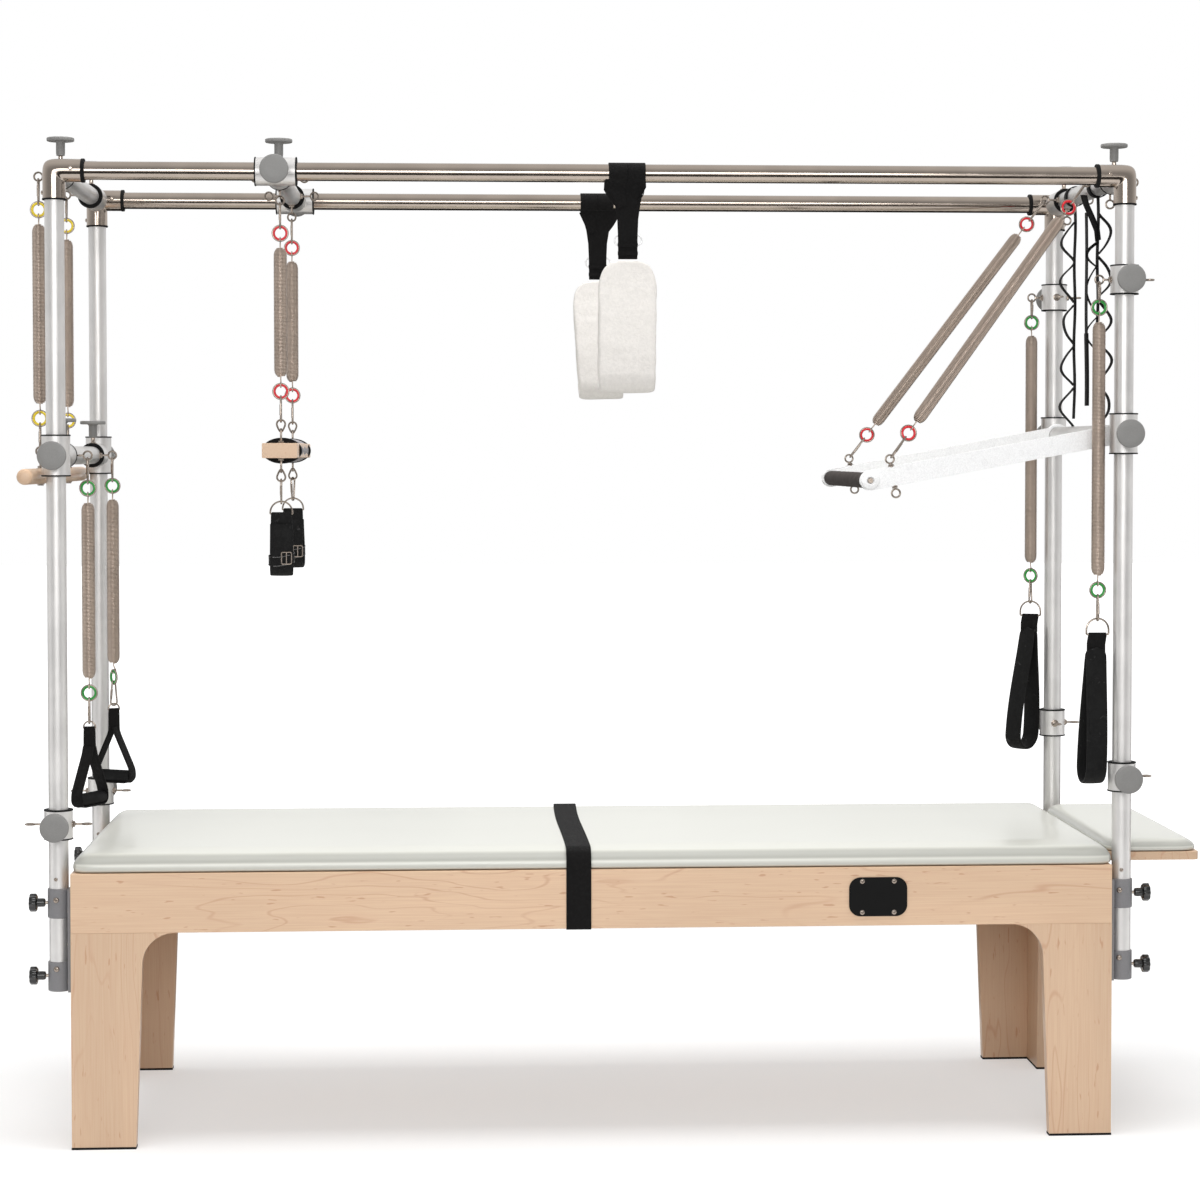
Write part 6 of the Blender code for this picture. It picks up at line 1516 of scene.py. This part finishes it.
def make_fleece_loops(pile):
    """Fleece loops on their straps, wrapped round the top tubes."""
    for name, side in SIDES.items():
        loop, strap, buckle = Form(), Form(), Form()
        body_name = "fleece_" + name
        x, y = FLEECE_X[side], side * POST_Y
        lean, taper = (-0.003, 0.03) if side == FRONT else (0.008, 0.16)
        start = FLEECE_TOP - 0.010
        route = loop_route(start, FLEECE_LENGTH - 0.020, FLEECE_DEPTH, FLEECE_NECK, 0.0, x, y, lean,
                           steps=26)
        fine = []
        for index in range(len(route) - 1):
            spans = max(round((route[index + 1] - route[index]).length / 0.006), 1)
            fine += [route[index].lerp(route[index + 1], step / spans) for step in range(spans)]
        fine.append(route[-1])

        def section(index):
            drop = start - fine[index].z
            arch = min(max(drop / 0.058, 0.0), 1.0)
            width = 0.046 + 0.076 * math.sqrt(max(0.0, 1 - (1 - arch) ** 2))
            width *= 1 - taper * drop / FLEECE_LENGTH
            bulk = 0.0175 + 0.003 * smooth_step(0.0, 0.10, drop)
            points = []
            for angle in turns(36):
                cosine, sine = math.cos(angle), math.sin(angle)
                points.append((width / 2 * math.copysign(abs(cosine) ** 0.32, cosine),
                               bulk / 2 * math.copysign(abs(sine) ** 0.55, sine)))
            return points

        loop.sweep(fine, section, X_AXIS)
        bmesh.ops.recalc_face_normals(loop.mesh, faces=loop.mesh.faces)
        loop.mesh.normal_update()
        for corner in loop.mesh.verts:
            broad, coarse, fluff = (noise.noise(corner.co * size) for size in TUFT_SIZES)
            corner.co += corner.normal * (0.0016 * broad + pile * 0.55 * (coarse + 0.5 * fluff))
        pad = piece("fleece_pad_" + name, loop, body_name, "fleece", "fleece_loop_" + name,
                    angle=180, subdivide=1)
        tube = axle((x, y, TOP_HEIGHT), X_AXIS, -Z_AXIS)
        inner = TUBE_RADIUS + WRAP_GAP
        skew = -0.006 if side == FRONT else 0.004
        for offset, half in ((-0.018, 0.0205), (0.0195, 0.0195)):
            place = tube @ Matrix.Translation((0, 0, offset - 0.002))
            strap.collar(place, inner + WRAP_THICKNESS, inner, -half, half, 0.0006)
        foot = TOP_HEIGHT - inner
        rows = [(x + skew, y - 0.0160, foot + 0.014, 0.040), (x + skew, y - 0.0105, foot + 0.003, 0.0440),
                (x + skew, y - 0.0062, foot - 0.012, 0.0450),
                (x + skew * 0.6, y - 0.0046, foot - 0.030, 0.0350),
                (x, y - 0.0040, foot - 0.046, 0.0270), (x, y - 0.0036, foot - 0.075, 0.0225),
                (x, y - 0.0032, foot - 0.110, 0.0210), (x, y - 0.0030, FLEECE_TOP - 0.006, 0.0205)]
        flat_strap(strap, rows, 0.0026)
        back = [(px, 2 * y - py - 0.0004, pz, half * 0.94) for px, py, pz, half in rows]
        flat_strap(strap, back, 0.0026)
        fold = [(x - 0.030, y - 0.0080, foot + 0.002, 0.015), (x - 0.020, y - 0.0078, foot - 0.022, 0.014),
                (x - 0.011, y - 0.0068, foot - 0.050, 0.010)]
        flat_strap(strap, fold, 0.0022)
        if side == FRONT:
            bend = [Vector((x + 0.020 + 0.0140 * math.sin(angle), y - 0.0075,
                            foot - 0.014 - 0.0210 * math.cos(angle))) for angle in
                    (math.pi * share for share in shares(12))]
            strap.sweep(bend, strap_section(0.0050, 0.0020), Y_AXIS)
        for height in (FLEECE_TOP + 0.024, FLEECE_TOP + 0.006):
            keeper = [(x, y - 0.0055, height + 0.004, 0.0214), (x, y - 0.0058, height - 0.004, 0.0214)]
            flat_strap(strap, keeper, 0.0022)
        centre = plane((x + 0.001, y, FLEECE_TOP + 0.034), X_AXIS, Z_AXIS)
        outline = rounded_rectangle(0.0290, 0.0105, 0.0100, 6)
        buckle.wire(laid(centre, outline), 0.0021, Y_AXIS, closed=True)
        piece("fleece_strap_" + name, strap, body_name, "webbing", angle=60)
        piece("fleece_buckle_" + name, buckle, body_name, "white_paint")


def make_daisy_straps():
    """Daisy-chain straps under the right top cross bar."""
    inner = CROSS_RADIUS + WRAP_GAP
    for name, side in SIDES.items():
        form = Form()
        x, y = POST_X, DAISY_Y[side]
        way = RIGHT if side == FRONT else LEFT
        wrap = axle((x, y, TOP_HEIGHT), Y_AXIS, Z_AXIS)
        form.collar(wrap, inner + WRAP_THICKNESS, inner, -0.0125, 0.0125, 0.0005)
        top = TOP_HEIGHT - inner - 0.001
        drop = top - (TOP_HEIGHT - DAISY_LENGTH)
        straight = [(x + 0.0012 * math.sin(16.8 * share), y, top - drop * share, DAISY_HALF)
                    for share in shares(24)]
        flat_strap(form, straight, 0.0020, Y_AXIS)
        if side == FRONT:
            second = [(x - 0.0270 + 0.003 * share + 0.0008 * math.sin(9 * share), y - 0.004,
                       top - 0.034 - (drop - 0.060) * share, DAISY_HALF) for share in shares(24)]
            flat_strap(form, second, 0.0020, Y_AXIS)
            flat_strap(form, second[15:], 0.0060, Y_AXIS)
            turned = [(x + out, y - near, top + rise, half) for out, near, rise, half in (
                (-0.0340, 0.008, 0.004, 0.0135), (-0.0290, 0.012, -0.018, 0.0125),
                (-0.0170, 0.012, -0.044, 0.0125), (-0.0040, 0.008, -0.072, 0.0120),
                (0, 0.003, -0.096, 0.0115))]
            flat_strap(form, turned, 0.0020, Vector((0.72, 0.69, 0)))
            for height, reach, half, lean in ((0.100, 0.055, 0.012, 0.5), (0.150, 0.110, 0.012, 0.1),
                                              (0.265, 0.075, 0.011, 0.1)):
                rows = [(x - 0.0012 - 0.0240 * math.sin(math.pi * share), y - 0.002,
                         top - height - reach * share, half) for share in shares(12)]
                flat_strap(form, rows, 0.0018, Vector((lean, 1, 0)).normalized())
        for number in range(DAISY_LOOPS):
            start = top - 0.036 - number * DAISY_PITCH
            rows = []
            for share in shares(14):
                wave = math.sin(math.pi * share) ** 1.15
                sway = 0.003 * math.sin(7.0 * share + number * 1.9)
                bulge = way * (DAISY_BULGE + 0.002 * math.sin(number * 2.3)) * wave + sway * wave
                rows.append((x + bulge + way * 0.0012, y + 0.002 * math.sin(5 * share + number),
                             start - DAISY_LOOP_LENGTH * share, 0.0115))
            flat_strap(form, rows, 0.0018, Y_AXIS)
        piece("daisy_webbing_" + name, form, "daisy_" + name, "webbing", "daisy_strap_" + name, angle=60)


# Stage

def stage_sheet(name, height, shade, *rectangles):
    """Flat rectangles of the stage, each (half width, near, far), with their own finish."""
    places = [(x, y, height) for half, near, far in rectangles
              for x, y in ((-half, near), (half, near), (half, far), (-half, far))]
    mesh = bpy.data.meshes.new(name)
    mesh.from_pydata(places, [], [tuple(range(first, first + 4)) for first in range(0, len(places), 4)])
    sheet = bpy.data.objects.new(name, mesh)
    bpy.context.scene.collection.objects.link(sheet)
    recipe = Recipe(name, shade, 0.9)
    mesh.materials.append(recipe.material)
    return sheet, recipe


def make_floor(studio):
    """The pale floor, and the dark cards that only reflections see."""
    _, recipe = stage_sheet("studio_floor", 0, studio.floor, (30, -30, 30))
    distance = recipe.add("ShaderNodeVectorMath", {0: recipe.place((1, 1, 0))}, 1, operation="LENGTH")
    glow = recipe.span(distance, *FLOOR_GLOW)
    recipe.set("Emission Color", WHITE)
    recipe.set("Emission Strength", recipe.math("MULTIPLY", recipe.seen(), glow))
    recipe.set("Specular IOR Level", 0.0)
    cards, _ = stage_sheet("studio_card", 0.004, (0.02, 0.018, 0.016), *DARK_CARDS)
    cards.visible_camera = cards.visible_diffuse = cards.visible_shadow = False


def make_background(studio):
    """White for the camera, a soft room for reflections and an even light for the rest."""
    world = bpy.data.worlds.new("studio_background")
    bpy.context.scene.world = world
    world.use_nodes = True
    nodes = Nodes(world.node_tree)
    _, back, up = nodes.split(nodes.add("ShaderNodeTexCoord", output="Generated"))
    room = nodes.span(nodes.math("MULTIPLY_ADD", up, ROOM_RISE, back), -ROOM_REACH, ROOM_REACH,
                      studio.room, ROOM_BACK)
    backdrop = nodes.math("MAXIMUM", nodes.add("ShaderNodeLightPath", output="Is Camera Ray"), room)
    background = world.node_tree.nodes["Background"].inputs
    nodes.put(background["Color"], WHITE)
    strength = nodes.add("ShaderNodeMix", {0: nodes.seen(), 2: studio.fill, 3: backdrop})
    nodes.put(background["Strength"], strength)


def make_lamps(studio):
    """The two soft lamps. Reflections see the front one alone."""
    for name, place, size_x, size_y, power, aim in (
            ("front_lamp", (-0.6, -7.5, 2.6), 5.0, 1.8, studio.front_lamp, 1.1),
            ("top_lamp", (0, -0.6, 5.5), 5.0, 3.0, studio.top_lamp, 0.5)):
        lamp = bpy.data.lights.new(name, "AREA")
        lamp.shape = "RECTANGLE"
        lamp.size, lamp.size_y, lamp.energy = size_x, size_y, power
        thing = bpy.data.objects.new(name, lamp)
        bpy.context.scene.collection.objects.link(thing)
        thing.location = place
        thing.rotation_euler = (Vector((0, 0, aim)) - Vector(place)).to_track_quat("-Z", "Y").to_euler()
        thing.visible_glossy = name == "front_lamp"


def make_camera():
    """The camera of the photo."""
    scene = bpy.context.scene
    camera = bpy.data.cameras.new("camera")
    camera.sensor_width = 36.0
    camera.lens = camera.sensor_width * FOCAL_LENGTH / PHOTO_SIZE
    camera.shift_x = (PHOTO_SIZE / 2 - PHOTO_CENTRE[0]) / PHOTO_SIZE
    camera.shift_y = (PHOTO_CENTRE[1] - PHOTO_SIZE / 2) / PHOTO_SIZE
    camera.clip_start = 0.05
    camera.clip_end = 200.0
    thing = bpy.data.objects.new("camera", camera)
    scene.collection.objects.link(thing)
    yaw, pitch, roll = CAMERA_TURN
    ahead = Vector((math.sin(yaw) * math.cos(pitch), math.cos(yaw) * math.cos(pitch), math.sin(pitch)))
    turn = ahead.to_track_quat("-Z", "Y").to_matrix().to_4x4()
    place = Vector(CAMERA_PLACE) + TABLE_X * X_AXIS
    thing.matrix_world = Matrix.Translation(place) @ turn @ Matrix.Rotation(roll, 4, "Z")
    scene.camera = thing
    scene.view_settings.view_transform = "Standard"


# Operators

class TRAPEZE_OT_finishes(bpy.types.Operator):
    """Mix the wood, vinyl, metal, plastic and cloth finishes"""
    bl_idname = "trapeze.finishes"
    bl_label = "Finishes"

    def execute(self, context):
        mix_finishes(context.scene.trapeze_colours, context.scene.trapeze_sizes.webbing_weave)
        return {"FINISHED"}


class TRAPEZE_OT_table(bpy.types.Operator):
    """Build the rails, legs and foot strips"""
    bl_idname = "trapeze.table"
    bl_label = "Wooden table"

    def execute(self, context):
        make_table(context.scene.trapeze_sizes.edge_round)
        return {"FINISHED"}


class TRAPEZE_OT_mat(bpy.types.Operator):
    """Build the mat and the strap tied round it"""
    bl_idname = "trapeze.mat"
    bl_label = "Mat and strap"

    def execute(self, context):
        make_mat(context.scene.trapeze_sizes.mat_swell)
        make_tie_strap(context.scene.trapeze_sizes.strap_bow)
        return {"FINISHED"}


class TRAPEZE_OT_plate(bpy.types.Operator):
    """Build the bare plate on the front rail"""
    bl_idname = "trapeze.plate"
    bl_label = "Rail plate"

    def execute(self, context):
        make_plate()
        return {"FINISHED"}


class TRAPEZE_OT_leaf(bpy.types.Operator):
    """Build the padded end leaf"""
    bl_idname = "trapeze.leaf"
    bl_label = "End leaf"

    def execute(self, context):
        make_leaf(context.scene.trapeze_sizes.leaf_swell, context.scene.trapeze_sizes.edge_round)
        return {"FINISHED"}


class TRAPEZE_OT_frame(bpy.types.Operator):
    """Build the posts, top tubes, cross bars and corners"""
    bl_idname = "trapeze.frame"
    bl_label = "Steel frame"

    def execute(self, context):
        make_posts_and_tubes()
        make_corners(context.scene.trapeze_sizes.knob_edge)
        return {"FINISHED"}


class TRAPEZE_OT_brackets(bpy.types.Operator):
    """Build the base brackets and their star knobs"""
    bl_idname = "trapeze.brackets"
    bl_label = "Base brackets"

    def execute(self, context):
        make_base_brackets()
        return {"FINISHED"}


class TRAPEZE_OT_clamps(bpy.types.Operator):
    """Build the carriage, the middle cross bars and the post collars"""
    bl_idname = "trapeze.clamps"
    bl_label = "Clamps"

    def execute(self, context):
        make_clamps(context.scene.trapeze_sizes.knob_edge)
        return {"FINISHED"}


class TRAPEZE_OT_springs(bpy.types.Operator):
    """Wind the ten springs and hang their rings and hooks"""
    bl_idname = "trapeze.springs"
    bl_label = "Springs"

    def execute(self, context):
        make_springs(context.scene.trapeze_sizes)
        return {"FINISHED"}


class TRAPEZE_OT_bars(bpy.types.Operator):
    """Build the roll-down, trapeze and push-through bars"""
    bl_idname = "trapeze.bars"
    bl_label = "Bars"

    def execute(self, context):
        make_roll_down_bar()
        make_trapeze_bar()
        make_push_bar()
        return {"FINISHED"}


class TRAPEZE_OT_loops(bpy.types.Operator):
    """Build the hand loops, foot loops and ankle cuffs"""
    bl_idname = "trapeze.loops"
    bl_label = "Loops and cuffs"

    def execute(self, context):
        make_hand_loops()
        make_foot_loops()
        make_cuffs()
        return {"FINISHED"}


class TRAPEZE_OT_fleece(bpy.types.Operator):
    """Build the fleece loops on their straps"""
    bl_idname = "trapeze.fleece"
    bl_label = "Fleece loops"

    def execute(self, context):
        make_fleece_loops(context.scene.trapeze_sizes.fleece_pile)
        return {"FINISHED"}


class TRAPEZE_OT_daisy(bpy.types.Operator):
    """Build the daisy-chain straps"""
    bl_idname = "trapeze.daisy"
    bl_label = "Daisy-chain straps"

    def execute(self, context):
        make_daisy_straps()
        return {"FINISHED"}


class TRAPEZE_OT_stage(bpy.types.Operator):
    """Set up the floor, background, lamps and camera"""
    bl_idname = "trapeze.stage"
    bl_label = "Stage"

    def execute(self, context):
        studio = context.scene.trapeze_studio
        make_floor(studio)
        make_background(studio)
        make_lamps(studio)
        make_camera()
        return {"FINISHED"}


OPERATORS = (TRAPEZE_OT_finishes, TRAPEZE_OT_table, TRAPEZE_OT_mat, TRAPEZE_OT_plate, TRAPEZE_OT_leaf,
             TRAPEZE_OT_frame, TRAPEZE_OT_brackets, TRAPEZE_OT_clamps, TRAPEZE_OT_springs,
             TRAPEZE_OT_bars, TRAPEZE_OT_loops, TRAPEZE_OT_fleece, TRAPEZE_OT_daisy, TRAPEZE_OT_stage)
GROUPS = {"trapeze_sizes": TrapezeTableSizes, "trapeze_colours": TrapezeTableColours,
          "trapeze_studio": TrapezeTableStudio}


class TRAPEZE_PT_sidebar(bpy.types.Panel):
    """Sizes, colours and pieces of the trapeze table"""
    bl_idname = "TRAPEZE_PT_sidebar"
    bl_label = "Trapeze table"
    bl_space_type = "VIEW_3D"
    bl_region_type = "UI"
    bl_category = "Trapeze table"

    def draw(self, context):
        for group, kind in GROUPS.items():
            box = self.layout.box()
            for name in kind.__annotations__:
                box.prop(getattr(context.scene, group), name)
        for operator in OPERATORS:
            self.layout.operator(operator.bl_idname)


def register():
    """Registers the groups, operators and panel."""
    for kind in (*GROUPS.values(), *OPERATORS, TRAPEZE_PT_sidebar):
        bpy.utils.register_class(kind)
    for name, kind in GROUPS.items():
        setattr(bpy.types.Scene, name, bpy.props.PointerProperty(type=kind))


def unregister():
    """Takes them away again."""
    for name in GROUPS:
        delattr(bpy.types.Scene, name)
    for kind in reversed((*GROUPS.values(), *OPERATORS, TRAPEZE_PT_sidebar)):
        bpy.utils.unregister_class(kind)


def main():
    """Builds everything."""
    register()
    for operator in (bpy.ops.trapeze.finishes, bpy.ops.trapeze.table, bpy.ops.trapeze.mat,
                     bpy.ops.trapeze.plate, bpy.ops.trapeze.leaf, bpy.ops.trapeze.frame,
                     bpy.ops.trapeze.brackets, bpy.ops.trapeze.clamps, bpy.ops.trapeze.springs,
                     bpy.ops.trapeze.bars, bpy.ops.trapeze.loops, bpy.ops.trapeze.fleece,
                     bpy.ops.trapeze.daisy, bpy.ops.trapeze.stage):
        operator()


if __name__ == "__main__":
    main()
